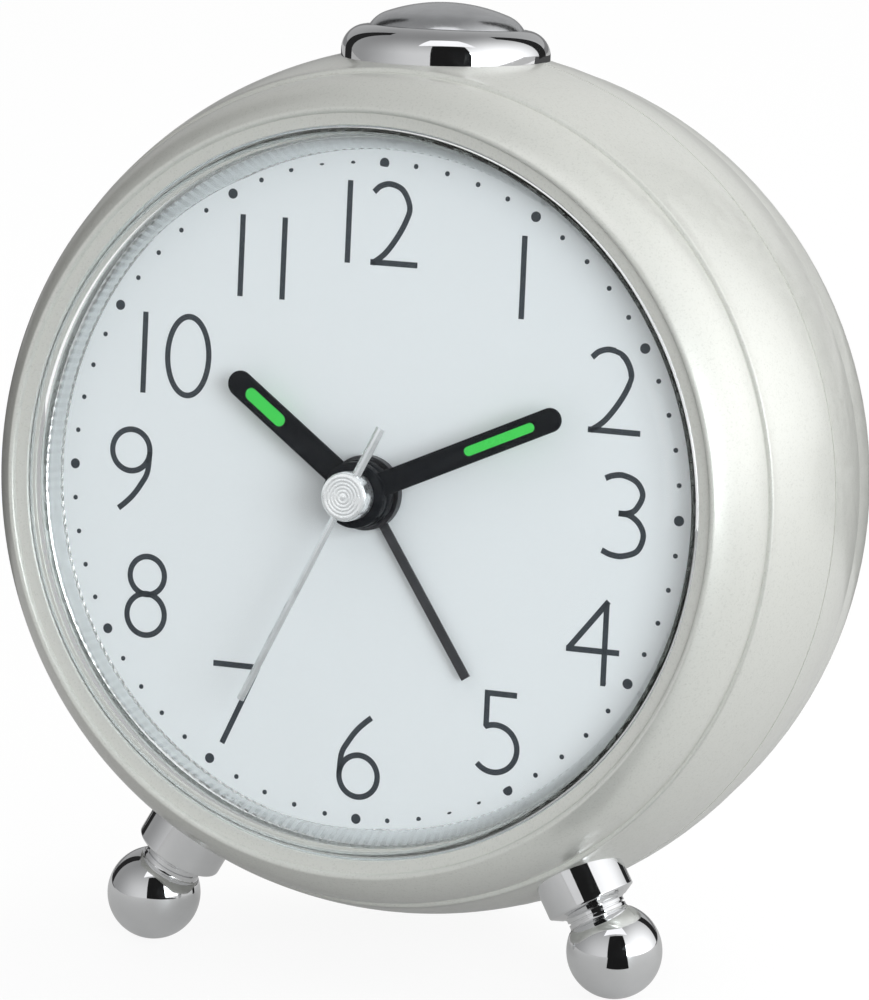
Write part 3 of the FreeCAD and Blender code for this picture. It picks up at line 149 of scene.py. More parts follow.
def tent(colour, right, left, front, back, above):
    """Background whose brightness is set for each of its five sides and blends smoothly between them."""
    cloth = nodes.new("ShaderNodeBackground")
    cloth.inputs["Color"].default_value = (*colour, 1)
    towards = nodes.new("ShaderNodeTexCoord")
    axes = nodes.new("ShaderNodeSeparateXYZ")
    links.new(towards.outputs["Generated"], axes.inputs[0])
    so_far = None
    for axis, sign, strength in ((0, 1, right), (0, -1, left), (1, -1, front), (1, 1, back), (2, 1, above)):
        facing = nodes.new("ShaderNodeMath")
        facing.operation = "MULTIPLY"
        facing.inputs[1].default_value = sign
        facing.use_clamp = True
        links.new(axes.outputs[axis], facing.inputs[0])
        squared = nodes.new("ShaderNodeMath")
        squared.operation = "MULTIPLY"
        links.new(facing.outputs[0], squared.inputs[0])
        links.new(facing.outputs[0], squared.inputs[1])
        added = nodes.new("ShaderNodeMath")
        added.operation = "MULTIPLY_ADD"
        added.inputs[1].default_value = strength
        added.inputs[2].default_value = 0.0
        links.new(squared.outputs[0], added.inputs[0])
        if so_far:
            links.new(so_far, added.inputs[2])
        so_far = added.outputs[0]
    links.new(so_far, cloth.inputs["Strength"])
    return cloth.outputs[0]


room = tent((0.985, 0.985, 0.98), right=0.80, left=0.0, front=0.52, back=1.8, above=0.92)
walls = tent((0.985, 0.99, 1.0), right=1.55, left=0.30, front=0.70, back=0.45, above=0.26)
paper = nodes.new("ShaderNodeBackground")
paper.inputs["Color"].default_value = (1, 1, 1, 1)
paper.inputs["Strength"].default_value = 1.0
out = nodes.new("ShaderNodeOutputWorld")
surroundings = nodes.new("ShaderNodeMixShader")
split(nodes, links, either_ray(nodes, links, "Is Glossy Ray"), room, walls, surroundings.inputs[1])
links.new(paper.outputs[0], surroundings.inputs[2])
links.new(either_ray(nodes, links, "Is Camera Ray", "Is Transmission Ray"), surroundings.inputs[0])
links.new(surroundings.outputs[0], out.inputs["Surface"])

table_top = bpy.data.materials.new("table_top")
table_top.use_nodes = True
nodes, links = table_top.node_tree.nodes, table_top.node_tree.links
shader = nodes["Principled BSDF"]
MIX_FACTOR, FIRST_COLOUR, SECOND_COLOUR, MIXED_COLOUR = 0, 6, 7, 2
pale_base = nodes.new("ShaderNodeMix")
pale_base.data_type = "RGBA"
pale_base.inputs[FIRST_COLOUR].default_value = (0.28, 0.28, 0.28, 1)
pale_base.inputs[SECOND_COLOUR].default_value = (0.95, 0.95, 0.95, 1)
links.new(either_ray(nodes, links, "Is Camera Ray"), pale_base.inputs[MIX_FACTOR])
links.new(pale_base.outputs[MIXED_COLOUR], shader.inputs["Base Color"])
shader.inputs["Roughness"].default_value = 0.6
glow = nodes.new("ShaderNodeEmission")
glow.inputs["Color"].default_value = (1, 1, 1, 1)
share = nodes.new("ShaderNodeMath")
share.operation = "ADD"
for k, ray, glow_share in ((0, "Is Camera Ray", 0.90), (1, "Is Glossy Ray", 0.28)):
    weighted = nodes.new("ShaderNodeMath")
    weighted.operation = "MULTIPLY"
    weighted.inputs[1].default_value = glow_share
    links.new(either_ray(nodes, links, ray), weighted.inputs[0])
    links.new(weighted.outputs[0], share.inputs[k])
split(nodes, links, share.outputs[0], shader.outputs[0], glow.outputs[0],
      nodes["Material Output"].inputs["Surface"])
FLOOR_SIDE, FLOOR_Z = 8, -0.00005
card("floor", (0, 0, FLOOR_Z), (FLOOR_SIDE, FLOOR_SIDE), (0, 0, 1), table_top)


def panel(name, corners, shade):
    """Flat white, grey or black studio panel that shows only in glossy surfaces."""
    cloth = bpy.data.materials.new(name)
    cloth.use_nodes = True
    tree = cloth.node_tree
    tint = tree.nodes.new("ShaderNodeEmission")
    tint.inputs["Color"].default_value = (shade, shade, shade * 1.02, 1)
    tree.links.new(tint.outputs[0], tree.nodes["Material Output"].inputs["Surface"])
    mesh = bpy.data.meshes.new(name)
    mesh.from_pydata(corners, [], [tuple(range(len(corners)))])
    mesh.materials.append(cloth)
    obj = link(name, mesh)
    obj.visible_camera = False
    obj.visible_diffuse = False
    obj.visible_shadow = False
    obj.visible_transmission = False


def standing(azimuth, distance, half_width, low, high):
    """Corners of an upright panel; azimuth 0 is straight ahead of the dial, to the right is positive."""
    out_of = Vector((math.sin(math.radians(azimuth)), -math.cos(math.radians(azimuth)), 0))
    along = Vector((out_of.y, -out_of.x, 0)) * half_width
    return [out_of * distance + along * side + Vector((0, 0, z))
            for side, z in ((-1, low), (1, low), (1, high), (-1, high))]


def lying(x, y, azimuth, spread, near, far, z):
    """Corners of a wedge on the table that opens away from the point x, y."""
    rays = [Vector((math.sin(math.radians(azimuth + turn)), -math.cos(math.radians(azimuth + turn)), 0))
            for turn in (-spread, spread)]
    point = Vector((x, y, z))
    return [point + rays[0] * near, point + rays[1] * near, point + rays[1] * far, point + rays[0] * far]


panel("panel_front", standing(azimuth=30, distance=0.95, half_width=0.40, low=0.0, high=1.22), 0.012)
panel("panel_above", standing(azimuth=28, distance=0.50, half_width=0.42, low=0.72, high=2.3), 1.1)
panel("panel_table_right",
      lying(x=0.0288, y=-0.0155, azimuth=30, spread=23, near=0.014, far=1.1, z=0.0004), 0.012)
panel("panel_table_back", lying(x=0.0, y=-0.1, azimuth=204, spread=62, near=0.46, far=2.0, z=0.0003), 0.08)
panel("panel_back", standing(azimuth=204, distance=1.9, half_width=1.6, low=0.0, high=0.30), 0.22)
for panel_name, azimuth in (("panel_edge_right", 158), ("panel_edge_left", -112)):
    panel(panel_name, standing(azimuth, distance=1.0, half_width=0.17, low=0.0, high=1.5), 0.02)


# ---------------------------------------------------------------- front case
# Zinc die casting with a domed front ring, a thin lip that traps the crystal and a small step before the
# drum. It is sprayed in pearl lacquer: fine mica flakes in a white coat under a clear gloss coat.
def drawn(start, *steps, fine=3.0):
    """Profile points; a step of two points is an arc through the first to the second, in chords of
    up to fine degrees."""
    points = [start]
    for step in steps:
        if not isinstance(step[0], tuple):
            points.append(step)
            continue
        a, b, c = (np.array(p, float) for p in (points[-1], *step))
        d = 2 * (a[0] * (b[1] - c[1]) + b[0] * (c[1] - a[1]) + c[0] * (a[1] - b[1]))
        sa, sb, sc = a @ a, b @ b, c @ c
        middle = np.array([(sa * (b[1] - c[1]) + sb * (c[1] - a[1]) + sc * (a[1] - b[1])) / d,
                           (sa * (c[0] - b[0]) + sb * (a[0] - c[0]) + sc * (b[0] - a[0])) / d])
        r = math.dist(a, middle)
        angle = [math.atan2(*(p - middle)[::-1]) for p in (a, b, c)]
        sweep = (angle[2] - angle[0]) % math.tau
        if (angle[1] - angle[0]) % math.tau > sweep:
            sweep -= math.tau
        count = max(2, math.ceil(abs(math.degrees(sweep)) / fine))
        for k in range(1, count + 1):
            at = angle[0] + sweep * k / count
            points.append((middle[0] + r * math.cos(at), middle[1] + r * math.sin(at)))
    return points


def bow(p, q, bulge):
    """Middle point of an arc from p to q that swells by bulge away from the axis."""
    length = math.dist(p, q)
    side = 1 if q[1] > p[1] else -1
    return ((p[0] + q[0]) / 2 + side * bulge * (q[1] - p[1]) / length,
            (p[1] + q[1]) / 2 - side * bulge * (q[0] - p[0]) / length)


def smoothed(mesh, crease=32):
    """Shades a mesh smooth, but for edges that bend by more than crease degrees."""
    mesh.shade_smooth()
    mesh.set_sharp_from_angle(angle=math.radians(crease))


def turned(name, profile, place=leaning, around=288, closed=True, crease=32):
    """Mesh turned about Y from (radius, y) points; place carries it from its own axis to the clock."""
    profile = np.array(profile, float)
    angles = np.linspace(0, math.tau, around, endpoint=False)
    r, y = profile[:, 0], profile[:, 1]
    count = len(r)
    verts = np.stack([np.outer(np.cos(angles), r), np.tile(y, (around, 1)), np.outer(np.sin(angles), r)], -1)
    faces = []
    for k in range(around):
        here, there = k * count, (k + 1) % around * count
        for i in range(count if closed else count - 1):
            j = (i + 1) % count
            faces.append((here + i, here + j, there + j, there + i))
    mesh = bpy.data.meshes.new(name)
    mesh.from_pydata(verts.reshape(-1, 3).tolist(), [], faces)
    work = bmesh.new()
    work.from_mesh(mesh)
    bmesh.ops.remove_doubles(work, verts=work.verts, dist=1e-5)
    bmesh.ops.recalc_face_normals(work, faces=work.faces)
    work.to_mesh(mesh)
    work.free()
    mesh.transform(place)
    smoothed(mesh, crease)
    return link(name, mesh)


def finish(name, colour, rough, metallic=0.0, **sockets):
    """New material; returns it with its nodes, links and shader."""
    mat = bpy.data.materials.new(name)
    mat.use_nodes = True
    tree = mat.node_tree
    shader = tree.nodes["Principled BSDF"]
    shader.inputs["Base Color"].default_value = (*colour, 1)
    shader.inputs["Roughness"].default_value = rough
    shader.inputs["Metallic"].default_value = metallic
    for socket, value in sockets.items():
        shader.inputs[socket.replace("_", " ")].default_value = value
    return mat, tree.nodes, tree.links, shader


def grain(nodes, links, scale, detail=3.0, kind="ShaderNodeTexNoise"):
    """Noise or cells in the clock's own space, scale in grains per metre."""
    where = nodes.new("ShaderNodeTexCoord")
    texture = nodes.new(kind)
    texture.inputs["Scale"].default_value = scale
    if "Detail" in texture.inputs:
        texture.inputs["Detail"].default_value = detail
    links.new(where.outputs["Object"], texture.inputs["Vector"])
    return texture


def graded(nodes, links, source, low, high, target, start=0.0, end=1.0):
    """Runs a source through a ramp between two colours or two values into a socket."""
    if isinstance(low, float):
        ramp = nodes.new("ShaderNodeMapRange")
        ramp.inputs["From Min"].default_value = start
        ramp.inputs["From Max"].default_value = end
        ramp.inputs["To Min"].default_value = low
        ramp.inputs["To Max"].default_value = high
        links.new(source, ramp.inputs["Value"])
    else:
        ramp = nodes.new("ShaderNodeValToRGB")
        ramp.color_ramp.elements[0].position = start
        ramp.color_ramp.elements[1].position = end
        ramp.color_ramp.elements[0].color = (*low, 1)
        ramp.color_ramp.elements[1].color = (*high, 1)
        links.new(source, ramp.inputs["Fac"])
    links.new(ramp.outputs[0], target)


def bumped(nodes, links, height, shader, strength, distance):
    """Raises the surface of a shader by a texture; distance is in metres."""
    bump = nodes.new("ShaderNodeBump")
    bump.inputs["Strength"].default_value = strength
    bump.inputs["Distance"].default_value = distance
    links.new(height, bump.inputs["Height"])
    links.new(bump.outputs["Normal"], shader.inputs["Normal"])


lacquer, nodes, links, shader = finish("pearl_lacquer", (0.63, 0.635, 0.592), 0.37, 0.42, Coat_Weight=0.6,
                                       Coat_Roughness=0.13, Coat_IOR=1.5)
flakes = grain(nodes, links, 5200.0, kind="ShaderNodeTexVoronoi")
graded(nodes, links, flakes.outputs["Color"], (0.592, 0.597, 0.554), (0.707, 0.711, 0.668),
       shader.inputs["Base Color"], 0.2, 0.8)
cloud = grain(nodes, links, 900.0)
graded(nodes, links, cloud.outputs["Fac"], 0.32, 0.42, shader.inputs["Roughness"], 0.35, 0.65)
bumped(nodes, links, flakes.outputs["Distance"], shader, 0.10, 0.00004)

BEZEL_R, LIP_BACK, LIP_FRONT = 40.95, -4.1, -4.75
GROOVE_R, CREST_R, CREST_Y = 42.3, 42.95, -5.48
RIM_R, RIM_Y, SEAM_R, SEAM_Y = 47.2, 1.75, 49.6, 14.9
SEAT_R, SEAT_BACK = 42.6, 2.3
WALL = 2.0
dome_start, valley = (CREST_R, CREST_Y), (RIM_R - 0.55, RIM_Y)
drum_start, seam = (RIM_R, RIM_Y + 0.3), (SEAM_R, SEAM_Y)
front_edge = (SEAM_R - 0.05, SEAM_Y - 0.12)
inner_seam, inner_front = (SEAM_R - WALL, SEAM_Y - 0.05), (RIM_R - WALL, SEAT_BACK)
front_shell = turned("front_shell", drawn(
    (BEZEL_R, LIP_BACK), (BEZEL_R, LIP_FRONT + 0.12),
    ((BEZEL_R + 0.04, LIP_FRONT + 0.03), (BEZEL_R + 0.12, LIP_FRONT)),
    (GROOVE_R, LIP_FRONT - 0.25), (GROOVE_R + 0.12, LIP_FRONT - 0.45),
    ((GROOVE_R + 0.26, CREST_Y + 0.08), dome_start), (bow(dome_start, valley, 0.9), valley),
    (RIM_R - 0.3, RIM_Y), ((RIM_R - 0.09, RIM_Y + 0.09), drum_start),
    (bow(drum_start, seam, 0.45), front_edge), (SEAM_R - 0.12, SEAM_Y - 0.05), inner_seam,
    (bow(inner_seam, inner_front, 0.45), inner_front), (SEAT_R, SEAT_BACK), (SEAT_R, LIP_BACK),
    fine=1.5), around=360)
front_shell.data.materials.append(lacquer)


def drilled(obj, cutter):
    """Cuts a hole or a seat with a cutter mesh, which is then thrown away."""
    cut = obj.modifiers.new("hole", "BOOLEAN")
    cut.operation = "DIFFERENCE"
    cut.solver = "EXACT"
    cut.object = cutter
    bpy.context.view_layer.update()
    carved = bpy.data.meshes.new_from_object(obj.evaluated_get(bpy.context.evaluated_depsgraph_get()))
    obj.modifiers.clear()
    obj.data = carved
    bpy.data.objects.remove(cutter)
    smoothed(obj.data)


HOLE_R, below_wall, above_wall = 10.3, 40, 60
button_way = leaning @ Matrix.Translation((0, SEAM_Y, 0)) @ Matrix.Rotation(math.radians(90), 4, "X")
drilled(front_shell, turned("bore", [(0, below_wall), (HOLE_R, below_wall), (HOLE_R, above_wall),
                                     (0, above_wall)], button_way, around=96, closed=False))
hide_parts("front_case")
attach(front_shell, "case")

# ---------------------------------------------------------------- rear case
# Second die casting that closes the drum from behind, with the battery bay and the cups of the knobs in
# its back. Four screws from behind draw it up to the front case, and it is sprayed with the same lacquer.
def dressed(material, *nodes):
    """Gives modelled pieces that already have the right shape their finish."""
    for node in nodes:
        mesh = frame["nodes"][node].data
        mesh.materials.clear()
        mesh.materials.append(material)


dressed(lacquer, "rear_case")

# ---------------------------------------------------------------- crystal
# Clear acrylic, moulded as a shallow dome with a rounded shoulder and a short wall; its flange is trapped
# behind the lip of the front case.
def crowned(r, top, edge):
    """Middle point of an arc from the axis at depth top to (r, edge), level at the axis."""
    rise = edge - top
    radius = (r * r + rise * rise) / (2 * rise)
    half = math.asin(r / abs(radius)) / 2
    return abs(radius) * math.sin(half), top + radius * (1 - math.cos(half))


def see_through(name, colour, rough, **sockets):
    """Clear plastic that lets lamps through to what is behind it."""
    mat, nodes, links, shader = finish(name, colour, rough, IOR=1.49, Transmission_Weight=1.0, **sockets)
    clear = nodes.new("ShaderNodeBsdfTransparent")
    clear.inputs["Color"].default_value = (0.97, 0.98, 0.985, 1)
    split(nodes, links, either_ray(nodes, links, "Is Shadow Ray", "Is Diffuse Ray"), shader.outputs[0],
          clear.outputs[0], nodes["Material Output"].inputs["Surface"])
    return mat, nodes, links, shader


GLASS_R, GLASS_WALL, GLASS_TOP, GLASS_SHOULDER = 40.75, 1.15, -9.3, -7.8
FLANGE_R, FLANGE_BACK = 42.4, -3.35
CORNER_R, CORNER_INSET = 36.9, 0.35
corner_out, corner_in = (CORNER_R, GLASS_SHOULDER), (CORNER_R - CORNER_INSET, GLASS_SHOULDER + GLASS_WALL)
side, side_in = (GLASS_R, LIP_BACK - 0.3), (GLASS_R - GLASS_WALL, LIP_BACK - 0.3)
crystal = turned("clear_crystal", drawn(
    (0, GLASS_TOP), (crowned(CORNER_R, GLASS_TOP, GLASS_SHOULDER), corner_out),
    (bow(side, corner_out, 0.95), side), (GLASS_R, LIP_BACK), (FLANGE_R, LIP_BACK), (FLANGE_R, FLANGE_BACK),
    (GLASS_R - GLASS_WALL, FLANGE_BACK), side_in, (bow(corner_in, side_in, 0.6), corner_in),
    (crowned(corner_in[0], GLASS_TOP + GLASS_WALL, corner_in[1]), (0, GLASS_TOP + GLASS_WALL)), fine=0.6),
    around=360, closed=False)
acrylic, nodes, links, shader = see_through("clear_acrylic", (0.97, 0.985, 0.99), 0.0,
                                            Specular_Tint=(0.12, 0.12, 0.12, 1))
haze = grain(nodes, links, 140.0)
graded(nodes, links, haze.outputs["Fac"], 0.0, 0.012, shader.inputs["Roughness"], 0.45, 0.75)
ripple = grain(nodes, links, 60.0, 1.0)
bumped(nodes, links, ripple.outputs["Fac"], shader, 0.02, 0.0001)
crystal.data.materials.append(acrylic)
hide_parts("crystal")
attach(crystal, "case")

# ---------------------------------------------------------------- reflector ring
# Clear acrylic cone between the crystal and the dial, moulded with fine ribs all round that scatter
# the light at the edge of the dial.
RIBS, RIB_DEPTH, RIBS_FROM, RIBS_TO = 228, 0.11, -3.3, -0.5
RING_FOOT_R, RING_TOP_R, RING_OUTER_R = 38.5, 40.0, 42.3
FIT = 0.02
ring_foot, ring_top = -FIT, FLANGE_BACK + FIT
ring = turned("ribbed_ring", [
    (RING_FOOT_R, ring_foot), (RING_FOOT_R, -0.6), (RING_FOOT_R + 0.5, -1.5), (RING_TOP_R - 0.3, -2.8),
    (RING_TOP_R, ring_top), (RING_OUTER_R, ring_top), (RING_OUTER_R, ring_foot)],
    Matrix.Identity(4), around=RIBS * 2)
for vertex in ring.data.vertices:
    x, y, z = vertex.co
    r = math.hypot(x, z)
    if r < RING_TOP_R + 0.1 and RIBS_FROM < y < RIBS_TO:
        tooth = round(math.atan2(z, x) / math.tau * RIBS * 2) % 2
        vertex.co = (x * (r + tooth * RIB_DEPTH) / r, y, z * (r + tooth * RIB_DEPTH) / r)
ring.data.transform(leaning)
ring.data.shade_flat()
ribbed, nodes, links, shader = see_through("ribbed_acrylic", (0.985, 0.985, 0.98), 0.14)
haze = grain(nodes, links, 900.0)
graded(nodes, links, haze.outputs["Fac"], 0.08, 0.22, shader.inputs["Roughness"], 0.4, 0.7)
bumped(nodes, links, haze.outputs["Fac"], shader, 0.05, 0.00005)
ring.data.materials.append(ribbed)
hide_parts("reflector_ring")
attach(ring, "case")

# ---------------------------------------------------------------- dial
# Thin aluminium disc painted a cool silvery white, with charcoal numerals and a dot for each minute
# printed on it by pad. The paint has a very fine satin sparkle.
dial_paint, nodes, links, shader = finish("dial_paint", (0.90, 0.918, 0.925), 0.5, 0.0, Coat_Weight=0.12,
                                          Coat_Roughness=0.35)
sparkle = grain(nodes, links, 9000.0, 1.0)
graded(nodes, links, sparkle.outputs["Fac"], (0.885, 0.903, 0.91), (0.915, 0.931, 0.938),
       shader.inputs["Base Color"], 0.3, 0.7)
cloud = grain(nodes, links, 250.0)
graded(nodes, links, cloud.outputs["Fac"], 0.44, 0.56, shader.inputs["Roughness"], 0.35, 0.65)
bumped(nodes, links, sparkle.outputs["Fac"], shader, 0.06, 0.00001)
dressed(dial_paint, "dial_plate")

INK_T, STROKE, BACKING_Y = 0.03, 0.65, 0.0
BAR_H, TWO_X, TWO_Z = 9.2, -1.37, 25.25
DOT_CIRCLE_R, HOUR_DOT_R, MINUTE_DOT_R = 37.0, 0.575, 0.275


def through(points, steps=7):
    """Smooth curve that passes through every point."""
    p = np.array([points[0]] + points + [points[-1]], float)
    p[0] = 2 * p[1] - p[2]
    p[-1] = 2 * p[-2] - p[-3]
    curve = []
    for a, b, c, d in zip(p, p[1:], p[2:], p[3:]):
        for t in np.arange(steps) / steps:
            curve.append(0.5 * (2 * b + (c - a) * t + (2 * a - 5 * b + 4 * c - d) * t ** 2
                                + (3 * b - a - 3 * c + d) * t ** 3))
    return curve + [p[-2]]


def oval(x, z, rx, rz, start=0.0, sweep=360.0, count=72):
    """Part of an ellipse, from a start angle through a sweep, in degrees."""
    turns = [math.radians(start + sweep * k / count) for k in range(count + 1)]
    return [(x + rx * math.cos(a), z + rz * math.sin(a)) for a in turns]


def inked(path, ring=False):
    """Corners and faces of one printed stroke along a path, with mitred corners and square ends."""
    p = np.array(path, float)
    if ring:
        p = p[:-1]
    ahead = np.roll(p, -1, 0) - p if ring else np.diff(p, axis=0)
    ahead = ahead / np.linalg.norm(ahead, axis=1)[:, None]
    side = np.stack([-ahead[:, 1], ahead[:, 0]], 1)
    before = np.roll(side, 1, 0) if ring else np.vstack([side[:1], side])
    after = side if ring else np.vstack([side, side[-1:]])
    middle = before + after
    middle /= np.linalg.norm(middle, axis=1)[:, None]
    middle *= (STROKE / 2 / np.maximum((middle * after).sum(1), 0.5))[:, None]
    count = len(p)
    verts = []
    for (x, z), (dx, dz) in zip(p, middle):
        for y in (BACKING_Y - INK_T, BACKING_Y):
            verts += [(x + dx, y, z + dz), (x - dx, y, z - dz)]
    faces = []
    for k in range(count if ring else count - 1):
        a, b = 4 * k, 4 * ((k + 1) % count)
        faces += [(a, b, b + 1, a + 1), (a + 1, b + 1, b + 3, a + 3), (a + 3, b + 3, b + 2, a + 2),
                  (a + 2, b + 2, b, a)]
    if not ring:
        e = 4 * (count - 1)
        faces += [(0, 1, 3, 2), (e, e + 2, e + 3, e + 1)]
    return verts, faces


def merged(name, parts, place=leaning):
    """One mesh from many lists of corners and faces."""
    verts, faces = [], []
    for some_verts, some_faces in parts:
        faces += [tuple(i + len(verts) for i in face) for face in some_faces]
        verts += some_verts
    mesh = bpy.data.meshes.new(name)
    mesh.from_pydata([tuple(v) for v in verts], [], faces)
    work = bmesh.new()
    work.from_mesh(mesh)
    bmesh.ops.recalc_face_normals(work, faces=work.faces)
    work.to_mesh(mesh)
    work.free()
    mesh.transform(place)
    return link(name, mesh)


def upright(x, low):
    """The numeral 1, a plain bar."""
    return inked([(x, low), (x, low + BAR_H)])


def two(dx, dz, wide, tall):
    """The numeral 2 as in 12, moved to start at (dx, dz) and drawn as much wider and taller as asked."""
    swan = [(-1.14, 33.4), (-0.35, 34.1), (0.9, 34.38), (2.4, 33.75), (3.26, 31.96), (2.87, 30.37),
            (1.85, 28.45), (0.49, 26.63), (-0.98, 25.45)]
    sized = [[(dx + (x - TWO_X) * wide, dz + (z - TWO_Z) * tall) for x, z in line]
             for line in (swan, [(-1.25, 25.59), (4.48, 25.59)])]
    return [inked(through(sized[0])), inked(sized[1])]


three_top = [(28.15, 3.95), (29.0, 4.3), (30.3, 4.42), (31.9, 3.8), (32.65, 2.4), (31.9, 0.8), (30.9, 0.28),
             (29.9, 0.22)]
three_low = [(29.9, 0.22), (31.2, 0.1), (32.4, -0.75), (32.95, -2.1), (32.3, -3.75), (30.6, -4.45),
             (29.2, -4.4), (28.1, -4.0)]
nine_tail = [(-27.6, 2.1), (-27.82, -0.23), (-28.6, -1.7), (-29.5, -2.95), (-30.4, -3.85), (-31.3, -4.6)]
six_tail = [(-2.34, -32.1), (-2.12, -29.77), (-1.34, -28.3), (-0.44, -27.05), (0.46, -26.15), (1.36, -25.4)]
numerals = merged("dial_numerals", [
    # 12, 1, 2 and 3
    upright(-4.07, 25.3), *two(TWO_X, TWO_Z, 1.0, 1.0),
    upright(17.24, 20.6),
    *two(25.65, 8.8, 6.35 / 5.85, 9.6 / 9.45),
    inked(through(three_top)), inked(through(three_low)),
    # 4, 5 and 6
    inked([(29.05, -19.0), (29.05, -9.75)]), inked([(29.25, -9.6), (24.7, -15.2)]),
    inked([(24.45, -15.2), (30.8, -15.2)]),
    inked([(18.88, -21.12), (15.32, -21.12), (15.32, -24.7)] + oval(16.45, -27.28, 2.72, 2.66, 112, -250)),
    inked(oval(0.03, -32.13, 2.36, 2.36), True), inked(through(six_tail)),
    # 7, 8 and 9
    inked([(-18.53, -21.13), (-12.75, -21.13)]), inked([(-12.94, -21.13), (-17.05, -30.15)]),
    inked(oval(-27.31, -12.0, 2.17, 2.17), True), inked(oval(-27.33, -16.46, 2.37, 2.37), True),
    inked(oval(-29.97, 2.13, 2.36, 2.36), True), inked(through(nine_tail)),
    # 10 and 11
    upright(-28.8, 8.77), inked(oval(-23.27, 13.35, 2.58, 4.46), True),
    upright(-17.12, 20.6), upright(-11.9, 20.6)])


def dot(angle, r, sides=28):
    """Printed dot at a clock angle."""
    x, z = DOT_CIRCLE_R * math.sin(math.radians(angle)), DOT_CIRCLE_R * math.cos(math.radians(angle))
    rim = oval(x, z, r, r, count=sides)[:-1]
    verts = [(a, BACKING_Y - INK_T, b) for a, b in rim] + [(a, BACKING_Y, b) for a, b in rim]
    faces = [tuple(range(sides)), tuple(range(2 * sides - 1, sides - 1, -1))]
    faces += [(k, (k + 1) % sides, sides + (k + 1) % sides, sides + k) for k in range(sides)]
    return verts, faces


dots = merged("dial_dots", [dot(6.0 * k, MINUTE_DOT_R if k % 5 else HOUR_DOT_R) for k in range(60)])
ink, nodes, links, shader = finish("charcoal_ink", (0.034, 0.041, 0.049), 0.42)
patches = grain(nodes, links, 2200.0)
graded(nodes, links, patches.outputs["Fac"], (0.030, 0.037, 0.045), (0.041, 0.049, 0.058),
       shader.inputs["Base Color"], 0.35, 0.65)
graded(nodes, links, patches.outputs["Fac"], 0.36, 0.5, shader.inputs["Roughness"], 0.3, 0.7)
bumped(nodes, links, patches.outputs["Fac"], shader, 0.05, 0.00001)
for print_piece in (numerals, dots):
    print_piece.data.materials.append(ink)
    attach(print_piece, "case")

# ---------------------------------------------------------------- hour and minute hands
# Stamped brass, painted gloss black, each with a long window filled with green luminous paste. The hour
# hand is pressed on the hour wheel's pipe and the minute hand on the cannon pinion's tube in front of it.
HAND_T = 0.35


def clock_angle(angle):
    """Turns a piece that was drawn pointing to 12 to where it points, clockwise from the front."""
    return leaning @ Matrix.Rotation(math.radians(angle), 4, "Y")


def capsule(half, z0, z1, steps=18):
    """Outline with parallel sides and round ends, whose centres are at z0 and z1."""
    top = [(half * math.cos(a), z1 + half * math.sin(a)) for a in np.linspace(0, math.pi, steps)]
    return top + [(-x, z1 + z0 - z) for x, z in top]


def blade(length, width, y, window):
    """Corners and faces of a flat arm with eased edges and a window through it."""
    window_start, window_end, window_w = window
    tip = length - width / 2
    ease = [(0.13, 0.0), (0.06, 0.03), (0.015, 0.075), (0.0, 0.14), (0.0, HAND_T)]
    outer = [(capsule(width / 2 - inset, 0.5, tip), y + down) for inset, down in ease]
    inner = [(capsule(window_w / 2 + inset * 0.6, window_start + window_w / 2, window_end - window_w / 2),
              y + down) for inset, down in ease]
    verts, faces = [], []
    for loops in (outer, inner):
        base = len(verts)
        count = len(loops[0][0])
        for loop, depth in loops:
            verts += [(x, depth, z) for x, z in loop]
        for k in range(len(loops) - 1):
            for i in range(count):
                a, b = base + k * count + i, base + k * count + (i + 1) % count
                faces.append((a, b, b + count, a + count))
    count = len(outer[0][0])
    inner_base = len(outer) * count
    for layer in (0, len(outer) - 1):
        ids = [base + layer * count + i for base in (0, inner_base) for i in range(count)]
        flat = [[Vector(verts[i]) for i in ids[:count]], [Vector(verts[i]) for i in ids[count:]]]
        faces += [tuple(ids[i] for i in corner) for corner in tessellate_polygon(flat)]
    return verts, faces


def boss(r, bore, y0, y1):
    """Corners and faces of the hand's round boss, with eased rims."""
    count = 96
    profile = [(bore, y0 + 0.05), (bore + 0.05, y0), (r - 0.16, y0), (r - 0.05, y0 + 0.05), (r, y0 + 0.16),
               (r, y1 - 0.08), (r - 0.08, y1), (bore, y1)]
    verts = [(q * math.cos(a), y, q * math.sin(a)) for a in np.linspace(0, math.tau, count, endpoint=False)
             for q, y in profile]
    size = len(profile)
    faces = [(k * size + i, k * size + (i + 1) % size, (k + 1) % count * size + (i + 1) % size,
              (k + 1) % count * size + i) for k in range(count) for i in range(size)]
    return verts, faces


gloss_black, nodes, links, shader = finish("gloss_black", (0.008, 0.009, 0.011), 0.3, 0.0, Coat_Weight=0.02,
                                           Coat_Roughness=0.12, Specular_IOR_Level=0.08)
orange_peel = grain(nodes, links, 1800.0)
graded(nodes, links, orange_peel.outputs["Fac"], (0.005, 0.006, 0.008), (0.009, 0.010, 0.012),
       shader.inputs["Base Color"], 0.35, 0.65)
graded(nodes, links, orange_peel.outputs["Fac"], 0.24, 0.36, shader.inputs["Roughness"], 0.35, 0.65)
bumped(nodes, links, orange_peel.outputs["Fac"], shader, 0.08, 0.00002)

for name, node, body, angle, size, y, window, hub in (
        ("hour_arm", "hour_hand", "hour", -54.0, (20.3, 3.0), -3.1, (11.9, 17.7, 1.45),
         (3.85, 1.8, -3.55, -2.2)),
        ("minute_arm", "minute_hand", "minute", 66.0, (26.4, 2.7), -4.2, (14.2, 23.1, 1.05),
         (3.7, 1.25, -4.8, -3.65))):
    arm = merged(name, [blade(*size, y, window), boss(*hub)], clock_angle(angle))
    smoothed(arm.data, 40)
    arm.data.materials.append(gloss_black)
    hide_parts(node)
    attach(arm, body)

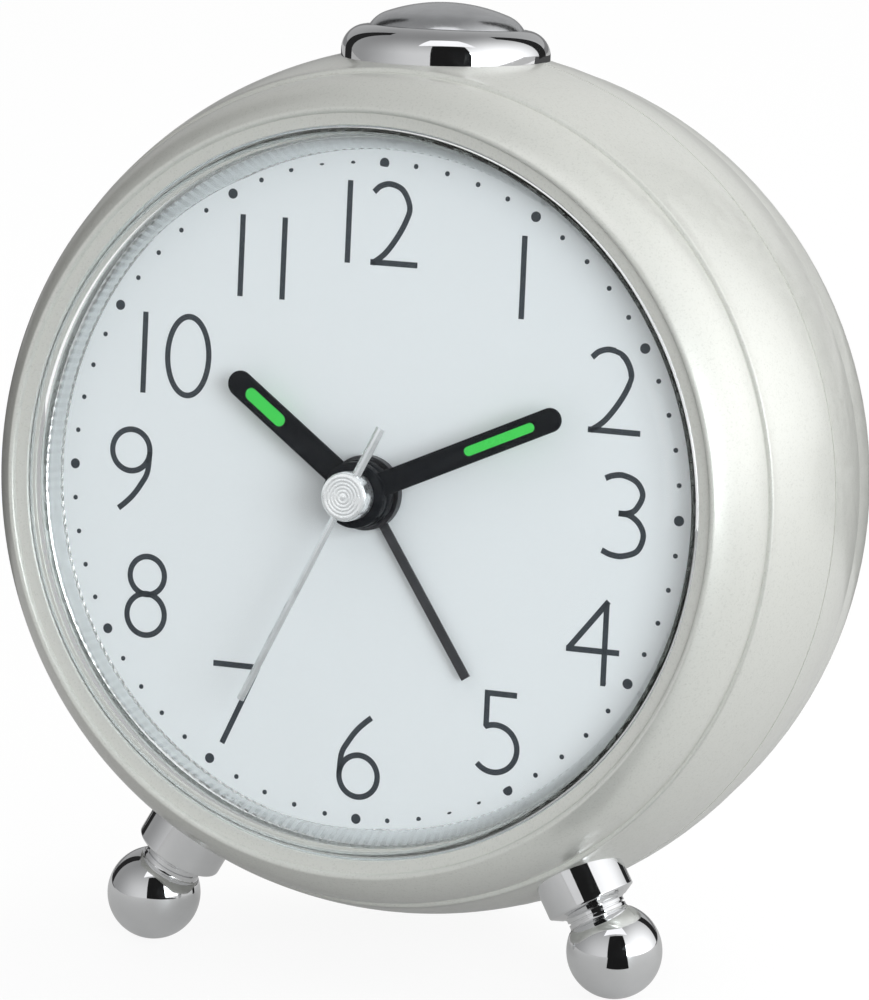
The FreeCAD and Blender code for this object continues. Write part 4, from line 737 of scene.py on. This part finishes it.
paste, nodes, links, shader = finish("green_lume", (0.06, 0.60, 0.09), 0.62, 0.0, Emission_Strength=0.05,
                                     Emission_Color=(0.06, 0.9, 0.12, 1), Subsurface_Weight=0.1,
                                     Subsurface_Scale=0.0003)
grit = grain(nodes, links, 7000.0)
graded(nodes, links, grit.outputs["Fac"], (0.040, 0.58, 0.07), (0.07, 0.72, 0.11),
       shader.inputs["Base Color"], 0.35, 0.65)
graded(nodes, links, grit.outputs["Fac"], 0.55, 0.72, shader.inputs["Roughness"], 0.3, 0.7)
bumped(nodes, links, grit.outputs["Fac"], shader, 0.3, 0.00004)
dressed(paste, "hour_lume", "minute_lume")

# ---------------------------------------------------------------- alarm hand
# Narrow strip stamped from thin steel, with a dark chemical finish. Its hub is pressed on the end of the
# alarm wheel's pipe, nearest to the dial.
def metal(name, colour, rough, spread, scale, streak=(1.0, 1.0, 1.0), drift=0.06, depth=0.000004):
    """Bare or plated metal: drifting tone, uneven gloss and fine rubbed marks drawn out along streak."""
    mat, nodes, links, shader = finish(name, colour, rough, 1.0)
    marks = grain(nodes, links, scale)
    aligned = nodes.new("ShaderNodeMapping")
    aligned.inputs["Scale"].default_value = streak
    links.new(marks.inputs["Vector"].links[0].from_socket, aligned.inputs["Vector"])
    links.new(aligned.outputs["Vector"], marks.inputs["Vector"])
    tone = grain(nodes, links, scale / 9)
    graded(nodes, links, tone.outputs["Fac"], tuple(c * (1 - drift) for c in colour),
           tuple(min(1.0, c * (1 + drift)) for c in colour), shader.inputs["Base Color"], 0.35, 0.65)
    graded(nodes, links, marks.outputs["Fac"], max(0.0, rough - spread), rough + spread,
           shader.inputs["Roughness"], 0.3, 0.7)
    bumped(nodes, links, marks.outputs["Fac"], shader, 0.08, depth)
    return mat


gunmetal = metal("gunmetal", (0.075, 0.075, 0.08), 0.40, 0.06, 3000.0, (1.0, 1.0, 0.2))
dressed(gunmetal, "alarm_hand")

# ---------------------------------------------------------------- second hand and its cap
# The second hand is a bright steel strip folded along its middle; a turned cap with fine rings cut in
# its polished face covers its collar.
bright_steel = metal("bright_steel", (0.86, 0.87, 0.88), 0.16, 0.04, 2500.0, (1.0, 1.0, 0.2))
dressed(bright_steel, "second_hand")
CAP_R, CAP_FACE, CAP_BACK, GROOVE_DEPTH = 2.75, -7.35, -5.2, 0.03
groove_floor = CAP_FACE + GROOVE_DEPTH
rings = [(0.0, CAP_FACE)]
for ring_r in (0.35, 0.75, 1.15, 1.55, 1.95):
    rings += [(ring_r, CAP_FACE), (ring_r + 0.08, groove_floor), (ring_r + 0.12, groove_floor),
              (ring_r + 0.2, CAP_FACE)]
rings += [(CAP_R - 0.38, CAP_FACE), (CAP_R - 0.2, CAP_FACE + 0.05), (CAP_R - 0.06, CAP_FACE + 0.2),
          (CAP_R, CAP_FACE + 0.4), (CAP_R, CAP_BACK), (0.0, CAP_BACK)]
cap = turned("seconds_cap", rings, around=144, closed=False, crease=25)
polished = metal("polished_cap", (0.96, 0.965, 0.97), 0.30, 0.05, 4000.0)
cap.data.materials.append(polished)
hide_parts("second_cap")
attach(cap, "seconds")

# ---------------------------------------------------------------- front feet
# Turned brass, polished and chromed: a straight collar that seats on the drum, a grooved neck and a ball.
# Each is held by a screw from inside the case.
chrome, nodes, links, shader = finish("chrome", (0.86, 0.865, 0.87), 0.035, 1.0)
smear = grain(nodes, links, 160.0)
graded(nodes, links, smear.outputs["Fac"], (0.83, 0.835, 0.84), (0.89, 0.895, 0.90),
       shader.inputs["Base Color"], 0.35, 0.65)
specks = grain(nodes, links, 2600.0)
graded(nodes, links, specks.outputs["Fac"], 0.02, 0.09, shader.inputs["Roughness"], 0.45, 0.8)
bumped(nodes, links, specks.outputs["Fac"], shader, 0.03, 0.000005)


def case_envelope(name):
    """Solid of the closed case, for cutting the seats of the pieces that stand on it."""
    waist, shoulder = (48.5, 25.6), (46.4, 34.7)
    front_y, front_r, front_slope = -3.0, 42.0, (46.2, 1.2)
    return turned(name, drawn(
        (0, front_y), (front_r, front_y), front_slope, valley, (RIM_R - 0.3, RIM_Y),
        ((RIM_R - 0.09, RIM_Y + 0.09), drum_start), (bow(drum_start, seam, 0.45), seam),
        (bow(seam, waist, 0.35), waist), (bow(waist, shoulder, 0.38), shoulder), (0, shoulder[1]), fine=1.5),
        around=360, closed=False)


FOOT_Y, FOOT_ANGLE = 7.53, 30.0
FOOT_R, NECK_R, BALL_R = 5.1, 3.42, 5.38
COLLAR_START, COLLAR_END, BALL_AT = 47.2, 51.5, 57.6
neck_start = COLLAR_END + 0.95
flare_r = NECK_R + 0.3
flare_end = BALL_AT - math.sqrt(BALL_R ** 2 - flare_r ** 2)
foot_profile = drawn(
    (0, COLLAR_START), (FOOT_R, COLLAR_START), (FOOT_R, COLLAR_END - 0.15),
    ((FOOT_R - 0.07, COLLAR_END + 0.05), (FOOT_R - 0.25, COLLAR_END + 0.16)),
    (NECK_R + 0.43, COLLAR_END + 0.72), ((NECK_R + 0.12, COLLAR_END + 0.82), (NECK_R, neck_start)),
    (NECK_R, neck_start + 0.33), (NECK_R - 0.22, neck_start + 0.39), (NECK_R - 0.22, neck_start + 0.51),
    (NECK_R, neck_start + 0.57), (NECK_R, flare_end - 0.45),
    ((NECK_R + 0.06, flare_end - 0.19), (flare_r, flare_end)),
    ((BALL_R, BALL_AT), (0, BALL_AT + BALL_R)), fine=3.0)
for side_of, name in ((-1, "left"), (1, "right")):
    heading = Vector((side_of * math.sin(math.radians(FOOT_ANGLE)), 0, -math.cos(math.radians(FOOT_ANGLE))))
    stand = leaning @ Matrix.Translation((0, FOOT_Y, 0)) @ Vector((0, 1, 0)).rotation_difference(
        heading).to_matrix().to_4x4()
    ball_foot = turned("ball_foot_" + name, foot_profile, stand, around=160, closed=False)
    drilled(ball_foot, case_envelope("seat_" + name))
    ball_foot.data.materials.clear()
    ball_foot.data.materials.append(chrome)
    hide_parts("foot_" + name)
    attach(ball_foot, "case")

# ---------------------------------------------------------------- button collar
# Turned brass ring, chromed like the feet, with a straight wall and a rounded shoulder; it stands on the
# case over the button's hole and its spigot goes down inside.
BORE_R, BUTTON_R, COLLAR_TOP, SHOULDER_TOP = 8.95, 11.85, 48.85, 51.55
SPIGOT_IN, SPIGOT_OUT = 46.9, 43.5
collar = turned("button_ring", drawn(
    (BORE_R, SPIGOT_IN), (BUTTON_R, SPIGOT_OUT), (BUTTON_R, COLLAR_TOP),
    ((BUTTON_R - 0.75, COLLAR_TOP + 1.75), (BORE_R + 0.2, SHOULDER_TOP)),
    (BORE_R + 0.1, SHOULDER_TOP - 0.05), (BORE_R, SHOULDER_TOP - 0.25), fine=4.0),
    button_way, around=256)
drilled(collar, case_envelope("seat_collar"))
collar.data.materials.clear()
collar.data.materials.append(chrome)
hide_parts("button_collar")
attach(collar, "case")

# ---------------------------------------------------------------- button
# Moulded cap with a satin chrome dome. It slides in the collar's bore on its skirt, whose catch stops it
# from coming out, and a pin under it works the switch; a steel spring lifts it again.
DOME_R, DOME_RIM, DOME_TOP = 8.85, 52.1, 54.35
CATCH_TOP, CATCH_T, SKIRT_IN_R, PIN_R, PIN_END = 46.8, 0.9, 7.45, 1.5, 44.35
round_r, round_z = DOME_R - 1.95, DOME_RIM + 0.975
ceiling_rim_z, catch_end = DOME_RIM - 1.9, CATCH_TOP - CATCH_T
dome = turned("button_dome", drawn(
    (0, DOME_TOP), (crowned(round_r, DOME_TOP, round_z), (round_r, round_z)),
    ((DOME_R - 0.829, round_z - 0.663), (DOME_R, SHOULDER_TOP - 0.15)), (DOME_R, SHOULDER_TOP - 1.2),
    (DOME_R - 0.2, SHOULDER_TOP - 1.4), (DOME_R - 0.2, CATCH_TOP), (DOME_R + 0.2, CATCH_TOP),
    (DOME_R + 0.2, catch_end), (SKIRT_IN_R, catch_end), (SKIRT_IN_R, ceiling_rim_z),
    (crowned(SKIRT_IN_R, DOME_RIM - 0.4, ceiling_rim_z), (PIN_R, DOME_RIM - 0.42)),
    (PIN_R, PIN_END), (0, PIN_END), fine=0.8), button_way, around=256, closed=False, crease=24)
satin = metal("satin_chrome", (0.72, 0.73, 0.74), 0.20, 0.05, 3000.0)
dome.data.materials.append(satin)
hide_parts("button_cap")
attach(dome, "button")


def moulded(name, colour, rough, scale=1500.0, drift=0.08, depth=0.00002, **sockets):
    """Moulded plastic: slightly drifting colour, uneven gloss and a fine moulding grain."""
    mat, nodes, links, shader = finish(name, colour, rough, 0.0, **sockets)
    drifting = grain(nodes, links, scale / 12)
    graded(nodes, links, drifting.outputs["Fac"], tuple(c * (1 - drift) for c in colour),
           tuple(min(1.0, c * (1 + drift)) for c in colour), shader.inputs["Base Color"], 0.35, 0.65)
    skin = grain(nodes, links, scale)
    graded(nodes, links, skin.outputs["Fac"], rough - 0.07, rough + 0.07,
           shader.inputs["Roughness"], 0.3, 0.7)
    bumped(nodes, links, skin.outputs["Fac"], shader, 0.12, depth)
    return mat


black_plastic = moulded("black_plastic", (0.022, 0.022, 0.024), 0.42)
spring_steel = metal("spring_steel", (0.56, 0.57, 0.58), 0.24, 0.06, 4000.0)
dressed(black_plastic, "button_housing", "snooze_switch")

# ---------------------------------------------------------------- return spring
# Open coil of bright spring wire. It stands on the floor of the button's housing and reaches up under
# the cap, which squeezes it as the button goes down.
wound = frame["nodes"]["button_spring"]
return_spring = link("return_spring", wound.data.copy())
return_spring.matrix_world = wound.matrix_world
return_spring.data.materials.clear()
return_spring.data.materials.append(spring_steel)
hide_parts("button_spring")
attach(return_spring, "case")
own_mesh(return_spring)

# ---------------------------------------------------------------- rear foot and case screws
# A rubber plug pushed into the rear case, cut level with the table, holds up the back. Four zinc-plated
# screws go in from behind, sunk deep in the posts.
rubber = moulded("rubber", (0.028, 0.028, 0.030), 0.72, 900.0, 0.15, 0.00005)
zinc = metal("zinc_plate", (0.60, 0.61, 0.62), 0.30, 0.08, 2500.0, drift=0.1)
dressed(rubber, "rear_foot")
dressed(zinc, "case_screws", "foot_screws", "frame_screws", "movement_screws")

# ---------------------------------------------------------------- battery, contacts and door
# One AA cell in a plain two-tone plastic sleeve lies across the back between a nickel-plated leaf and a
# coil spring. Its door is moulded and sprayed to match the case, with grip ribs and a hollow for a nail.
sleeve, nodes, links, shader = finish("battery_sleeve", (0.05, 0.05, 0.055), 0.3, 0.0, Coat_Weight=0.3,
                                      Coat_Roughness=0.12)
where = nodes.new("ShaderNodeTexCoord")
across = nodes.new("ShaderNodeSeparateXYZ")
links.new(where.outputs["Object"], across.inputs[0])
bands = nodes.new("ShaderNodeValToRGB")
bands.color_ramp.interpolation = "CONSTANT"
end_of_can, sleeve_end, band_start, nub_start = 0.0, 0.012, 0.70, 0.968
for end, position in zip(bands.color_ramp.elements, (end_of_can, nub_start)):
    end.position = position
    end.color = (0.62, 0.62, 0.60, 1)
for position, colour in ((sleeve_end, (0.030, 0.052, 0.075, 1)), (band_start, (0.40, 0.42, 0.44, 1))):
    bands.color_ramp.elements.new(position).color = colour
low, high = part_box("battery")
graded(nodes, links, across.outputs["X"], 0.0, 1.0, bands.inputs["Fac"], low.x, high.x)
links.new(bands.outputs["Color"], shader.inputs["Base Color"])
film = grain(nodes, links, 900.0)
graded(nodes, links, film.outputs["Fac"], 0.22, 0.36, shader.inputs["Roughness"], 0.3, 0.7)
bumped(nodes, links, film.outputs["Fac"], shader, 0.08, 0.00001)
nickel = metal("nickel_plate", (0.66, 0.63, 0.57), 0.2, 0.06, 3000.0)
dressed(sleeve, "battery")
dressed(nickel, "battery_contact_plus", "battery_spring_minus")
dressed(lacquer, "battery_door")

# ---------------------------------------------------------------- knobs and alarm slider
# Fluted setting knobs pushed on the stems, and the thumb piece of the alarm switch in its slot, all
# moulded in ivory white plastic.
knob_white = moulded("knob_plastic", (0.62, 0.62, 0.575), 0.38, 1800.0, 0.04)
dressed(knob_white, "time_set_knob", "alarm_set_knob", "alarm_slider")
dressed(black_plastic, "alarm_switch")

# ---------------------------------------------------------------- movement and inner pieces
# A ring frame holds the movement against the dial. Plates and wheels are moulded in acetal, the motor has
# an iron stator, a copper coil and a magnet, and its board carries the quartz and the chip.
white_plastic = moulded("white_plastic", (0.70, 0.70, 0.68), 0.45)
grey_plastic = moulded("grey_plastic", (0.20, 0.205, 0.21), 0.48)
acetal = moulded("natural_acetal", (0.74, 0.72, 0.65), 0.40, Subsurface_Weight=0.08, Subsurface_Scale=0.0004)
steel = metal("ground_steel", (0.52, 0.53, 0.54), 0.26, 0.07, 3500.0, (1.0, 0.15, 1.0))
iron = metal("soft_iron", (0.33, 0.32, 0.31), 0.42, 0.1, 1800.0, drift=0.12)
brass = metal("brass", (0.72, 0.52, 0.22), 0.28, 0.07, 2200.0, drift=0.1)
ferrite = metal("magnet", (0.09, 0.09, 0.095), 0.45, 0.08, 2000.0)
copper = metal("copper_wire", (0.72, 0.30, 0.14), 0.3, 0.08, 2400.0, (9.0, 0.6, 0.6), drift=0.12)
board_green = moulded("board_laminate", (0.025, 0.14, 0.055), 0.36, 1200.0, 0.2)
red_wire = moulded("red_wire", (0.42, 0.02, 0.02), 0.4)
grey_wire = moulded("grey_wire", (0.24, 0.24, 0.25), 0.42)
for material, nodes_in_it in (
        (white_plastic, ("inner_frame",)),
        (grey_plastic, ("movement_front_plate", "movement_back_cover")),
        (acetal, ("train_bridge", "rotor", "fifth_wheel", "seconds_wheel", "third_wheel", "centre_wheel",
                  "cannon_pinion", "minute_wheel", "hour_wheel", "alarm_wheel", "time_set_stem",
                  "alarm_set_stem")),
        (steel, ("seconds_shaft", "quartz_crystal")), (iron, ("stator", "coil_bobbin")),
        (brass, ("buzzer_disc",)), (ferrite, ("rotor_magnet",)), (copper, ("coil_winding",)),
        (board_green, ("circuit_board",)), (black_plastic, ("clock_chip",)),
        (red_wire, ("battery_leads", "buzzer_leads")), (grey_wire, ("switch_leads", "alarm_leads"))):
    dressed(material, *nodes_in_it)
